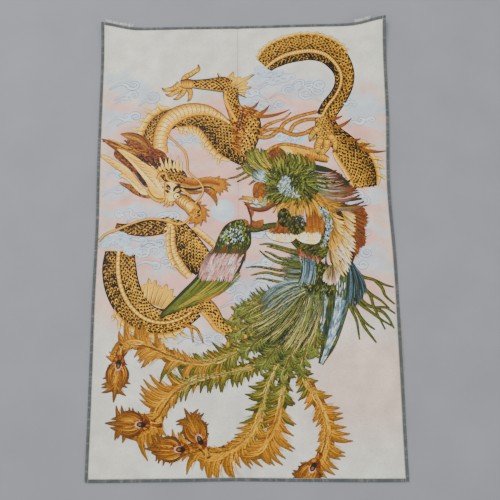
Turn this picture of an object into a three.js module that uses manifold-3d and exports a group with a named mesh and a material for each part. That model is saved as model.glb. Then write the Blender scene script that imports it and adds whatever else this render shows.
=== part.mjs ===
// Woven picture panel: a brocade ground cloth with a dragon and phoenix in pattern weft, an overlocked
// edging on all four sides, and one pressed fold line that lets the left half turn over the right half.
// Millimetres, +Z up, picture side up. The origin is under the middle of the panel, on the floor.
import * as THREE from "three";
import { mergeVertices } from "three/addons/utils/BufferGeometryUtils.js";
import Module from "manifold-3d";

// Driving dimensions
const WIDTH = 600; // over the edging
const LENGTH = 925; // over the edging
const FOLD_X = -11; // the pressed fold line, parallel to Y
const FOLD_SLIT = 0.4; // between the two halves of the ground cloth
const CLOTH_THICKNESS = 0.8;
const GAP = 0.3; // between touching layers
const THREAD_WRAP = 0.4; // thickness of the overlock thread on each face and round the raw edge
const EDGING_WIDTH = 6.5;
const WEFT_THICKNESS = 0.4;
const ROWS = 50; // facets of the cloth and edging along the length
const CELL = LENGTH / ROWS;
const CORNER_REACH = 88; // how far in from a top corner the cloth starts to lift, along the diagonal
const LIFT_LEFT = 11;
const LIFT_RIGHT = 14;

// Levels above the floor
const CLOTH_BOTTOM = THREAD_WRAP + GAP;
const CLOTH_TOP = CLOTH_BOTTOM + CLOTH_THICKNESS;
const EDGING_TOP = CLOTH_TOP + GAP + THREAD_WRAP;
const WEFT_BOTTOM = CLOTH_TOP + GAP;
const CLOTH_INSET = THREAD_WRAP + GAP; // the raw edge inside the edging's wrap

const HALF_W = WIDTH / 2;
const HALF_L = LENGTH / 2;

const wasm = await Module();
wasm.setup();

// ---------------------------------------------------------------- how the cut panel lies on the floor

const clamp01 = (t) => Math.min(1, Math.max(0, t));
const smooth = (t) => {
  const c = clamp01(t);
  return c * c * (3 - 2 * c);
};
const bump = (t, centre, spread) => Math.exp(-(((t - centre) / spread) ** 2));

// How far each edge of the flat cut is drawn in towards the middle.
const EDGE_REACH = 80;
const drawnIn = {
  left: (y) => 1.8 * bump(y, 30, 90),
  right: (y) => 7 * bump(y, 95, 110),
  top: (x) => 9 * smooth((HALF_W - Math.abs(x)) / 75),
  bottom: (x) => 2 * bump(x, -40, 140),
};

// The lift of the cloth at the two top corners, which curl up about a line across the diagonal.
function cornerLift(x, y) {
  const down = HALF_L - y;
  const side = (fromCorner, lift) => {
    const along = (fromCorner + down) / Math.SQRT2;
    return lift * clamp01(1 - along / CORNER_REACH) ** 2;
  };
  return side(HALF_W + x, LIFT_LEFT) + side(HALF_W - x, LIFT_RIGHT);
}

// A point of the flat cut, at a level above the floor, where the panel lies.
function lay(x, y, level) {
  const near = (distance) => smooth(1 - distance / EDGE_REACH);
  return [
    x + drawnIn.left(y) * near(HALF_W + x) - drawnIn.right(y) * near(HALF_W - x),
    y - drawnIn.top(x) * near(HALF_L - y) + drawnIn.bottom(x) * near(HALF_L + y),
    level + cornerLift(x, y),
  ];
}

// ---------------------------------------------------------------- solids

// A flat solid with each of its vertices moved to where the panel lies.
function laid(flat) {
  const geometry = flat.index ? flat : mergeVertices(flat);
  const at = geometry.attributes.position;
  for (let i = 0; i < at.count; i++) at.setXYZ(i, ...lay(at.getX(i), at.getY(i), at.getZ(i)));
  geometry.computeVertexNormals();
  return geometry;
}

// The faces joined at their shared vertices.
function joined(geometry) {
  geometry.deleteAttribute("normal");
  geometry.deleteAttribute("uv");
  return mergeVertices(geometry, 1e-3);
}

// Half of the ground cloth, from x0 to x1.
function clothHalf(x0, x1) {
  const long = LENGTH - 2 * CLOTH_INSET;
  const across = Math.round((x1 - x0) / CELL);
  const sheet = new THREE.BoxGeometry(x1 - x0, long, CLOTH_THICKNESS, across, ROWS, 1);
  sheet.translate((x0 + x1) / 2, 0, (CLOTH_BOTTOM + CLOTH_TOP) / 2);
  return laid(joined(sheet));
}

// A run of overlocked edging: a C section of wrapped thread that holds the raw edge of the cloth. It is
// drawn on the left side, from start down to end along Y, and turned about Z to the side that it is on.
function edgingRun(halfSpan, start, end, turn) {
  const section = new THREE.Shape();
  section.moveTo(0, 0);
  section.lineTo(EDGING_WIDTH, 0);
  section.lineTo(EDGING_WIDTH, THREAD_WRAP);
  section.lineTo(THREAD_WRAP, THREAD_WRAP);
  section.lineTo(THREAD_WRAP, EDGING_TOP - THREAD_WRAP);
  section.lineTo(EDGING_WIDTH, EDGING_TOP - THREAD_WRAP);
  section.lineTo(EDGING_WIDTH, EDGING_TOP);
  section.lineTo(0, EDGING_TOP);
  const depth = start - end;
  const steps = Math.round(depth / CELL);
  const run = new THREE.ExtrudeGeometry(section, { depth, steps, bevelEnabled: false });
  run.rotateX(Math.PI / 2);
  run.translate(-halfSpan, start, 0);
  run.rotateZ(turn);
  return laid(joined(run));
}

// ---------------------------------------------------------------- figures in pattern weft

const curveThrough = (points, closed = false) =>
  new THREE.CatmullRomCurve3(points.map(([x, y]) => new THREE.Vector3(x, y, 0)), closed, "centripetal");

// A band along a line of [x, y, half width]. The side inside a tight bend skips the points that turn back.
function band(line, steps = 4 * (line.length - 1)) {
  const curve = curveThrough(line);
  const left = [];
  const right = [];
  const forward = (side, point, along) => {
    if (side.length === 0 || point.clone().sub(side.at(-1)).dot(along) > 1) side.push(point);
  };
  for (let i = 0; i <= steps; i++) {
    const t = (i / steps) * (line.length - 1);
    const k = Math.min(line.length - 2, Math.floor(t));
    const half = THREE.MathUtils.lerp(line[k][2], line[k + 1][2], smooth(t - k));
    const at = curve.getPoint(i / steps);
    const tangent = curve.getTangent(i / steps);
    const along = new THREE.Vector2(tangent.x, tangent.y);
    forward(left, new THREE.Vector2(at.x - along.y * half, at.y + along.x * half), along);
    forward(right, new THREE.Vector2(at.x + along.y * half, at.y - along.x * half), along);
  }
  return solidFrom([...left, ...right.reverse()]);
}

// A rounded outline through [x, y] points.
function blot(points, steps = 3 * points.length) {
  const curve = curveThrough(points, true);
  return solidFrom(Array.from({ length: steps }, (_, i) => curve.getPoint(i / steps)));
}

// A star-edged outline: straight lines between [x, y] points, for fins and claws.
const cut = (points) => solidFrom(points.map(([x, y]) => new THREE.Vector2(x, y)));

const disc = (x, y, radius, sides = 20) =>
  solidFrom(Array.from({ length: sides }, (_, i) => {
    const turn = (i / sides) * 2 * Math.PI;
    return new THREE.Vector2(x + radius * Math.cos(turn), y + radius * Math.sin(turn));
  }));

function solidFrom(outline) {
  const shape = new THREE.Shape(outline.map((p) => new THREE.Vector2(p.x, p.y)));
  const geometry = new THREE.ExtrudeGeometry(shape, { depth: WEFT_THICKNESS, bevelEnabled: false });
  geometry.translate(0, 0, WEFT_BOTTOM);
  return manifoldOf(geometry);
}

function manifoldOf(geometry) {
  const merged = joined(geometry);
  return new wasm.Manifold(
    new wasm.Mesh({
      numProp: 3,
      vertProperties: new Float32Array(merged.attributes.position.array),
      triVerts: new Uint32Array(merged.index.array),
    }),
  );
}

// A figure grown by the gap on every side, and made deeper, to cut its neighbours with.
function cutter(solid) {
  const reach = 1.3 * GAP;
  const deep = solid.translate([0, 0, -WEFT_BOTTOM - WEFT_THICKNESS / 2]).scale([1, 1, 3]);
  const level = deep.translate([0, 0, WEFT_BOTTOM + WEFT_THICKNESS / 2]);
  let grown = level;
  for (let i = 0; i < 8; i++) {
    const turn = (i * Math.PI) / 4;
    grown = grown.add(level.translate([reach * Math.cos(turn), reach * Math.sin(turn), 0]));
  }
  return grown;
}

// A block from x0 to x1, as long as the field of the picture inside the edging.
function fieldBlock(x0, x1) {
  const box = new THREE.BoxGeometry(x1 - x0, LENGTH - 2 * (EDGING_WIDTH + GAP), 100);
  box.translate((x0 + x1) / 2, 0, 0);
  return manifoldOf(box);
}

const largest = (solid) => solid.decompose().reduce((a, b) => (b.volume() > a.volume() ? b : a));

// The mesh of a flat solid, laid where the panel lies.
function laidFigure(solid) {
  const mesh = solid.getMesh();
  const geometry = new THREE.BufferGeometry();
  geometry.setAttribute("position", new THREE.Float32BufferAttribute(mesh.vertProperties, mesh.numProp));
  geometry.setIndex(Array.from(mesh.triVerts));
  return laid(geometry);
}

// ---------------------------------------------------------------- the picture

const YARN = {
  ground: { color: 0xcfcabb, roughness: 0.85, metalness: 0 },
  edging: { color: 0x4a5653, roughness: 0.8, metalness: 0 },
  gold: { color: 0xc89a3e, roughness: 0.5, metalness: 0.25 },
  palegold: { color: 0xe2bd6b, roughness: 0.5, metalness: 0.2 },
  rust: { color: 0x8c4a18, roughness: 0.7, metalness: 0 },
  green: { color: 0x6d6c2a, roughness: 0.65, metalness: 0.05 },
  blue: { color: 0x7d95a0, roughness: 0.7, metalness: 0 },
  cream: { color: 0xe8d7a8, roughness: 0.7, metalness: 0 },
  pale: { color: 0xbfd0d4, roughness: 0.8, metalness: 0 },
};

// Figures from the top one down: a figure is cut away where one above it in this list lies.
// fold says that it crosses the fold line, so that it is woven in two halves here.
const FIGURES = [
  {
    name: "phoenix_head_weft",
    yarn: "green",
    solid: () =>
      blot([
        [-3, 78], [12, 92], [22, 112], [40, 118], [58, 100], [62, 74], [44, 58], [18, 66],
      ]),
  },
  {
    name: "phoenix_crest_weft",
    yarn: "green",
    solid: () =>
      band([
        [30, 121, 11], [22, 140, 13], [26, 156, 11], [10, 172, 3],
      ]),
  },
  {
    name: "phoenix_ruff_weft",
    yarn: "green",
    solid: () =>
      blot([
        [66, 62], [60, 120], [62, 165], [105, 182], [150, 160], [205, 130], [226, 84],
        [190, 62], [150, 50], [110, 44],
      ]),
  },
  {
    name: "phoenix_right_wing_weft",
    yarn: "cream",
    solid: () =>
      blot([
        [178, 52], [222, 58], [240, 20], [234, -30], [212, -62], [190, -84], [166, -96],
        [156, -60], [168, -10],
      ]),
  },
  {
    name: "phoenix_breast_weft",
    yarn: "rust",
    solid: () =>
      blot([
        [70, 36], [105, 38], [148, 36], [160, 8], [150, -40], [118, -42], [92, 0], [62, 8],
      ]),
  },
  {
    name: "phoenix_folded_wing_weft",
    yarn: "green",
    fold: true,
    solid: () =>
      blot([
        [8, 30], [14, 2], [0, -42], [-12, -74], [-62, -114], [-118, -140], [-158, -148],
        [-116, -104], [-80, -66], [-58, -24], [-44, 12], [-18, 32],
      ]),
  },
  {
    name: "phoenix_left_plume_weft",
    yarn: "blue",
    solid: () =>
      band([
        [104, -46, 7], [72, -66, 10], [40, -72, 6], [6, -63, 2],
      ]),
  },
  {
    name: "phoenix_long_feather_left_weft",
    yarn: "blue",
    solid: () =>
      band([
        [152, -140, 11], [142, -185, 11], [128, -222, 8], [114, -242, 2],
      ]),
  },
  {
    name: "phoenix_long_feather_right_weft",
    yarn: "blue",
    solid: () =>
      band([
        [192, -110, 14], [180, -160, 16], [160, -215, 12], [143, -254, 2],
      ]),
  },
  {
    name: "phoenix_back_plume_weft",
    yarn: "blue",
    solid: () =>
      band([
        [206, -66, 9], [222, -106, 9], [236, -150, 5], [258, -212, 1.5],
      ]),
  },
  {
    name: "phoenix_tail_coverts_weft",
    yarn: "green",
    solid: () =>
      blot([
        [112, -52], [156, -66], [176, -110], [150, -140], [128, -200], [104, -236],
        [40, -246], [10, -214], [14, -170], [60, -130], [100, -98],
      ]),
  },
  {
    name: "dragon_hind_foot_weft",
    yarn: "gold",
    fold: true,
    solid: () =>
      blot([
        [-46, -186], [-28, -172], [-16, -156], [4, -160], [-4, -180], [22, -186], [4, -198],
        [-22, -208],
      ]),
  },
  {
    name: "phoenix_tail_feather_1_weft",
    yarn: "gold",
    fold: true,
    solid: () =>
      band([
        [20, -214, 12], [-40, -238, 18], [-110, -236, 20], [-180, -212, 18],
        [-226, -216, 20], [-242, -256, 24], [-248, -306, 3],
      ]),
  },
  {
    name: "phoenix_tail_feather_2_weft",
    yarn: "gold",
    fold: true,
    solid: () =>
      band([
        [20, -254, 10], [-50, -272, 18], [-112, -296, 22], [-156, -334, 24],
        [-192, -362, 26], [-246, -362, 3],
      ]),
  },
  {
    name: "phoenix_tail_feather_3_weft",
    yarn: "gold",
    fold: true,
    solid: () =>
      band([
        [34, -252, 14], [20, -310, 28], [-6, -370, 26], [-56, -404, 18], [-118, -406, 26],
        [-172, -400, 3],
      ]),
  },
  {
    name: "phoenix_tail_feather_4_weft",
    yarn: "gold",
    solid: () =>
      band([
        [60, -252, 12], [70, -306, 22], [60, -360, 22], [34, -418, 3],
      ]),
  },
  {
    name: "phoenix_tail_feather_5_weft",
    yarn: "gold",
    solid: () =>
      band([
        [104, -240, 10], [132, -286, 20], [154, -340, 22], [154, -390, 20], [124, -434, 24],
        [96, -446, 4],
      ]),
  },
  {
    name: "dragon_head_weft",
    yarn: "gold",
    solid: () =>
      blot([
        [-208, 118], [-176, 130], [-150, 140], [-110, 128], [-60, 118], [-30, 96],
        [-72, 84], [-78, 50], [-100, 26], [-118, 54], [-150, 66], [-196, 84],
      ]),
  },
  {
    name: "dragon_mane_weft",
    yarn: "rust",
    solid: () =>
      blot([
        [-296, 202], [-250, 214], [-208, 186], [-164, 172], [-150, 143], [-178, 132],
        [-211, 120], [-246, 128], [-262, 168],
      ]),
  },
  {
    name: "dragon_horn_weft",
    yarn: "palegold",
    solid: () =>
      band([
        [-298, 168, 2], [-262, 142, 7], [-232, 112, 9], [-206, 96, 6],
      ]),
  },
  {
    name: "dragon_neck_weft",
    yarn: "gold",
    solid: () =>
      band([
        [-182, 178, 28], [-180, 222, 30], [-150, 256, 26], [-108, 262, 22], [-76, 250, 26],
        [-50, 228, 28],
      ]),
  },
  {
    name: "dragon_shoulder_weft",
    yarn: "gold",
    fold: true,
    solid: () =>
      blot([
        [-24, 250], [8, 262], [34, 236], [34, 196], [24, 176], [-4, 172], [-20, 190],
      ]),
  },
  {
    name: "dragon_foreleg_weft",
    yarn: "gold",
    fold: true,
    solid: () =>
      band([
        [-22, 256, 15], [-24, 284, 13], [-20, 312, 20], [-62, 318, 14], [-108, 320, 8],
      ]),
  },
  {
    name: "dragon_fore_claw_weft",
    yarn: "palegold",
    solid: () =>
      cut([
        [-118, 332], [-98, 352], [-106, 364], [-140, 338], [-170, 312], [-150, 310],
        [-142, 284], [-128, 296], [-112, 282], [-110, 312],
      ]),
  },
  {
    name: "dragon_upper_arch_weft",
    yarn: "gold",
    solid: () =>
      band([
        [56, 362, 24], [84, 390, 25], [120, 403, 27], [156, 404, 28], [190, 388, 25],
        [213, 352, 21], [214, 318, 20], [198, 286, 19], [176, 256, 20],
      ]),
  },
  {
    name: "dragon_right_flank_weft",
    yarn: "gold",
    solid: () =>
      band([
        [170, 240, 20], [184, 212, 22], [210, 186, 22], [236, 156, 24], [250, 98, 25],
      ]),
  },
  {
    name: "dragon_far_claw_weft",
    yarn: "rust",
    solid: () =>
      band([
        [40, 226, 12], [76, 222, 14], [112, 228, 13], [146, 224, 6],
      ]),
  },
  {
    name: "dragon_middle_loop_weft",
    yarn: "gold",
    solid: () =>
      band([
        [-252, 18, 3], [-204, 14, 13], [-160, 14, 18], [-130, 0, 22], [-104, -28, 26],
        [-72, -50, 24],
      ]),
  },
  {
    name: "dragon_lower_coil_weft",
    yarn: "gold",
    solid: () =>
      band([
        [-250, -24, 26], [-248, -66, 31], [-232, -114, 30], [-192, -150, 25],
        [-142, -156, 20], [-100, -140, 18],
      ]),
  },
  {
    name: "dragon_back_fin_weft",
    yarn: "palegold",
    solid: () =>
      cut([
        [-214, -100], [-196, -94], [-188, -84], [-172, -96], [-150, -94], [-138, -104],
        [-136, -122], [-160, -134], [-190, -132],
      ]),
  },
  {
    name: "dragon_hind_leg_weft",
    yarn: "gold",
    solid: () =>
      band([
        [-88, -132, 16], [-66, -152, 12], [-48, -174, 9], [-36, -196, 6],
      ]),
  },
  { name: "moon_disc_weft", yarn: "pale", solid: () => disc(-42, 50, 23) },
];

// ---------------------------------------------------------------- the assembly

const part = new THREE.Group();

function add(name, geometry, yarn) {
  const mesh = new THREE.Mesh(geometry, new THREE.MeshStandardMaterial(YARN[yarn]));
  mesh.name = name;
  part.add(mesh);
}

const butt = HALF_W - EDGING_WIDTH - GAP; // the top and bottom runs stop short of the side runs
const foldLeft = FOLD_X - FOLD_SLIT / 2;
const foldRight = FOLD_X + FOLD_SLIT / 2;
add("ground_cloth_left", clothHalf(-HALF_W + CLOTH_INSET, foldLeft), "ground");
add("ground_cloth_right", clothHalf(foldRight, HALF_W - CLOTH_INSET), "ground");
add("edging_left_side", edgingRun(HALF_W, HALF_L, -HALF_L, 0), "edging");
add("edging_bottom_left", edgingRun(HALF_L, butt, -foldLeft, Math.PI / 2), "edging");
add("edging_bottom_right", edgingRun(HALF_L, -foldRight, -butt, Math.PI / 2), "edging");
add("edging_right_side", edgingRun(HALF_W, HALF_L, -HALF_L, Math.PI), "edging");
add("edging_top_right", edgingRun(HALF_L, butt, foldRight, -Math.PI / 2), "edging");
add("edging_top_left", edgingRun(HALF_L, foldLeft, -butt, -Math.PI / 2), "edging");

const field = fieldBlock(-butt, butt);
const leftField = fieldBlock(-butt, foldLeft);
const rightField = fieldBlock(foldRight, butt);
let above = null;
for (const { name, yarn, fold, solid } of FIGURES) {
  const whole = solid().intersect(field);
  const shown = above ? whole.subtract(above) : whole;
  above = above ? above.add(cutter(whole)) : cutter(whole);
  if (fold) {
    add(`${name}_left`, laidFigure(largest(shown.intersect(leftField))), yarn);
    add(`${name}_right`, laidFigure(largest(shown.intersect(rightField))), yarn);
  } else add(name, laidFigure(largest(shown)), yarn);
}

export default part;
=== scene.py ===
"""A woven dragon and phoenix panel: brocade ground, overlocked edging and figures in pattern weft."""

import logging
import math
import random
from dataclasses import dataclass, field
from enum import Enum
from typing import Callable, ClassVar, Iterable, Sequence

import bmesh
import bpy
import numpy as np
from mathutils import Matrix, Vector
from mathutils.geometry import delaunay_2d_cdt


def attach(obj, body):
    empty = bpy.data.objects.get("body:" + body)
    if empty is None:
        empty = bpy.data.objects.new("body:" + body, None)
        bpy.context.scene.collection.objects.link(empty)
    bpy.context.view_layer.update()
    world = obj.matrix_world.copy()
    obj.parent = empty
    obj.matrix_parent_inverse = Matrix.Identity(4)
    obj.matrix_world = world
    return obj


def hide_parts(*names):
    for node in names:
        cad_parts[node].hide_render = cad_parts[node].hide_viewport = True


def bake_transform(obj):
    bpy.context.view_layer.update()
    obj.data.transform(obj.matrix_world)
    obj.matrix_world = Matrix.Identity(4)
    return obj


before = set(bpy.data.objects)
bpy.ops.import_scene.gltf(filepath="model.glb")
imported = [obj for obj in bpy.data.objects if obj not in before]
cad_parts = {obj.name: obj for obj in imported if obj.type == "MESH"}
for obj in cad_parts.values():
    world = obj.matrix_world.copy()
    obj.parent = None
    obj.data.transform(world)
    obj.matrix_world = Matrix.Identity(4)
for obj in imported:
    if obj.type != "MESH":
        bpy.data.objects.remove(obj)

log = logging.getLogger("panel")

Point = tuple[float, float]
Colour = tuple[float, float, float]
Row = tuple[float, ...]
Way = str | Sequence[Sequence[float]]
MM = 0.001
RIM_LEVEL = 0.8


class Dye(Enum):
    """Yarn colours, as they look in daylight."""

    IVORY = "#DAD8C8"
    ROSE = "#EAAB96"
    MIST = "#BCCED6"
    LAVENDER = "#6E678A"
    SAND = "#B0A488"
    WHITE = "#EAE8DC"
    CREAM = "#F6D882"
    STRAW = "#EDB42C"
    GOLD = "#CE8700"
    AMBER = "#9C5E02"
    RUST = "#7C3602"
    BRICK = "#621E04"
    UMBER = "#301603"
    SOOT = "#0C0602"
    MOSS = "#6C6C0C"
    OLIVE = "#464C08"
    FERN = "#84902C"
    PINE = "#202C0C"
    SLATE = "#56727C"
    ICE = "#AFC6CE"
    TEAL = "#1C3C40"
    PINK = "#D09A94"
    THREAD = "#686D6B"
    THREAD_DARK = "#3B403F"

    @property
    def rgb(self) -> Colour:
        """The colour in linear light."""
        parts = [int(self.value[i : i + 2], 16) / 255 for i in (1, 3, 5)]
        return tuple(c / 12.92 if c <= 0.04045 else ((c + 0.055) / 1.055) ** 2.4 for c in parts)


Tint = Dye | Colour
Yarns = str | Sequence[Dye]


def tone(tint: Tint) -> Colour:
    """The colour of a dye, or the colour itself."""
    return tint.rgb if isinstance(tint, Dye) else tint


def blend(a: Tint, b: Tint, t: float) -> Colour:
    """The colour a share t of the way from a to b."""
    return tuple(p + (q - p) * t for p, q in zip(tone(a), tone(b)))


def yarns(names: Yarns | None) -> Sequence[Dye] | None:
    """The dyes of a few names in a row, such as "gold rust"; anything but text stays as it is."""
    return [Dye[name.upper()] for name in names.split()] if isinstance(names, str) else names


def hues(names: str | Sequence[Tint]) -> list[Colour]:
    """The colours of a few names in a row."""
    return [tone(dye) for dye in yarns(names)]


def way(stops: Way) -> Sequence[Sequence[float]]:
    """The points of a line in millimetres, from text such as "10 20, 14 26" (with a half width third)."""
    return [tuple(map(float, stop.split())) for stop in stops.split(",")] if isinstance(stops, str) else stops


def smooth(t: np.ndarray) -> np.ndarray:
    """A soft step from 0 to 1."""
    c = np.clip(t, 0.0, 1.0)
    return c * c * (3 - 2 * c)


# ---- the lie of the cloth


@dataclass(frozen=True)
class Lie:
    """How the flat cut of the panel lies on the floor. Lengths are millimetres of the flat cut."""

    half_width: float = 300.0
    half_length: float = 462.5
    fold_x: float = -11.0
    cloth_top: float = 1.5
    cloth_bottom: float = 0.7
    reach: float = 80.0
    curl_reach: float = 88.0
    lift_left: float = 11.0
    lift_right: float = 14.0

    def curl(self, x: np.ndarray, y: np.ndarray) -> np.ndarray:
        """The lift of the two top corners."""
        down = self.half_length - y
        left = np.clip(1 - (self.half_width + x + down) / math.sqrt(2) / self.curl_reach, 0, 1)
        right = np.clip(1 - (self.half_width - x + down) / math.sqrt(2) / self.curl_reach, 0, 1)
        return self.lift_left * left**2 + self.lift_right * right**2

    def ripple(self, x: np.ndarray, y: np.ndarray) -> np.ndarray:
        """Low ripples where the cloth doesn't quite touch the floor, and the dip along the fold line."""
        off = np.abs(x - self.fold_x)
        swell = 1.1 * np.sin(x / 47 + y / 118 + 0.6) + 0.9 * np.sin(y / 61 - x / 140 + 1.9)
        swell = swell + 0.7 * np.sin((x + y) / 39 + 0.4) * smooth((np.abs(x) - 120) / 150)
        edge = 1.5 * np.exp(-(((y - 95) / 60) ** 2)) * smooth((x - 210) / 80)
        dip = 1.0 - np.exp(-off / 5.0)
        depth = 0.35 + 0.65 * smooth((y + 120) / 300)
        return np.maximum(0, 0.55 * (swell + 1.2)) * smooth(off / 110) + edge + 1.1 * depth * dip

    def place(self, x: np.ndarray, y: np.ndarray, level: np.ndarray) -> np.ndarray:
        """Lay points of the flat cut.

        Args:
            x: across the cut.
            y: up the cut.
            level: height over the floor before any ripple or curl.

        Returns:
            One row of x, y, z in metres for each point.
        """
        near = lambda gap: smooth(1 - gap / self.reach)
        gauss = lambda t, centre, spread: np.exp(-(((t - centre) / spread) ** 2))
        left = 1.8 * gauss(y, 30, 90) * near(self.half_width + x)
        right = 7.0 * gauss(y, 95, 110) * near(self.half_width - x)
        top = 9.0 * smooth((self.half_width - np.abs(x)) / 75) * near(self.half_length - y)
        bottom = 2.0 * gauss(x, -40, 140) * near(self.half_length + y)
        z = level + self.curl(x, y) + self.ripple(x, y)
        return np.stack([x + left - right, y - top + bottom, z], axis=1) * MM


LIE = Lie()


# ---- node groups and finishes


class Wiring:
    """Short calls for building node trees."""

    def __init__(self, tree: bpy.types.NodeTree) -> None:
        """Work on one node tree."""
        self.tree = tree

    def node(self, kind: str, inputs: dict | None = None, **settings) -> bpy.types.Node:
        """Add a node.

        Args:
            kind: the node's class name.
            inputs: socket name or number to a value or an output socket.
            settings: attributes of the node.

        Returns:
            The new node.
        """
        made = self.tree.nodes.new(kind)
        for name, value in settings.items():
            setattr(made, name, value)
        for name, value in (inputs or {}).items():
            if isinstance(value, bpy.types.NodeSocket):
                self.tree.links.new(value, made.inputs[name])
            else:
                made.inputs[name].default_value = value
        return made

    @classmethod
    def material(cls, name: str) -> "Wiring":
        """The empty tree of a new material, kept as .owner."""
        made = bpy.data.materials.new(name)
        made.use_nodes = True
        made.node_tree.nodes.clear()
        wiring = cls(made.node_tree)
        wiring.owner = made
        return wiring

    def attribute(self, name: str, output: str) -> bpy.types.NodeSocket:
        """A named attribute of the mesh."""
        return self.node("ShaderNodeAttribute", attribute_name=name).outputs[output]

    def group(self, name: str, inputs: dict) -> bpy.types.Node:
        """Place a shared group, building it the first time."""
        if name not in Groups.made:
            getattr(Groups, name)()
        return self.node("ShaderNodeGroup", inputs, node_tree=Groups.made[name])

    def finish(self, **inputs) -> bpy.types.Material:
        """Close a material with a Principled BSDF, its inputs named with underscores."""
        values = {name.replace("_", " "): value for name, value in inputs.items()}
        shader = self.node("ShaderNodeBsdfPrincipled", values)
        self.node("ShaderNodeOutputMaterial", {0: shader.outputs[0]}).is_active_output = True
        return self.owner

    def math(self, operation: str, a, b=0.0, c=0.0) -> bpy.types.NodeSocket:
        """The output of a Math node."""
        return self.node("ShaderNodeMath", {0: a, 1: b, 2: c}, operation=operation).outputs[0]

    def mix(self, factor, a, b, mode: str = "MIX") -> bpy.types.NodeSocket:
        """The output of a colour Mix node."""
        made = self.node("ShaderNodeMix", {0: factor, 6: a, 7: b}, data_type="RGBA", blend_type=mode)
        return made.outputs[2]

    def ramp(self, value, low: float, high: float) -> bpy.types.NodeSocket:
        """A value mapped from low..high to 0..1 and clamped."""
        return self.node("ShaderNodeMapRange", {0: value, 1: low, 2: high, 3: 0.0, 4: 1.0}).outputs[0]


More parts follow.
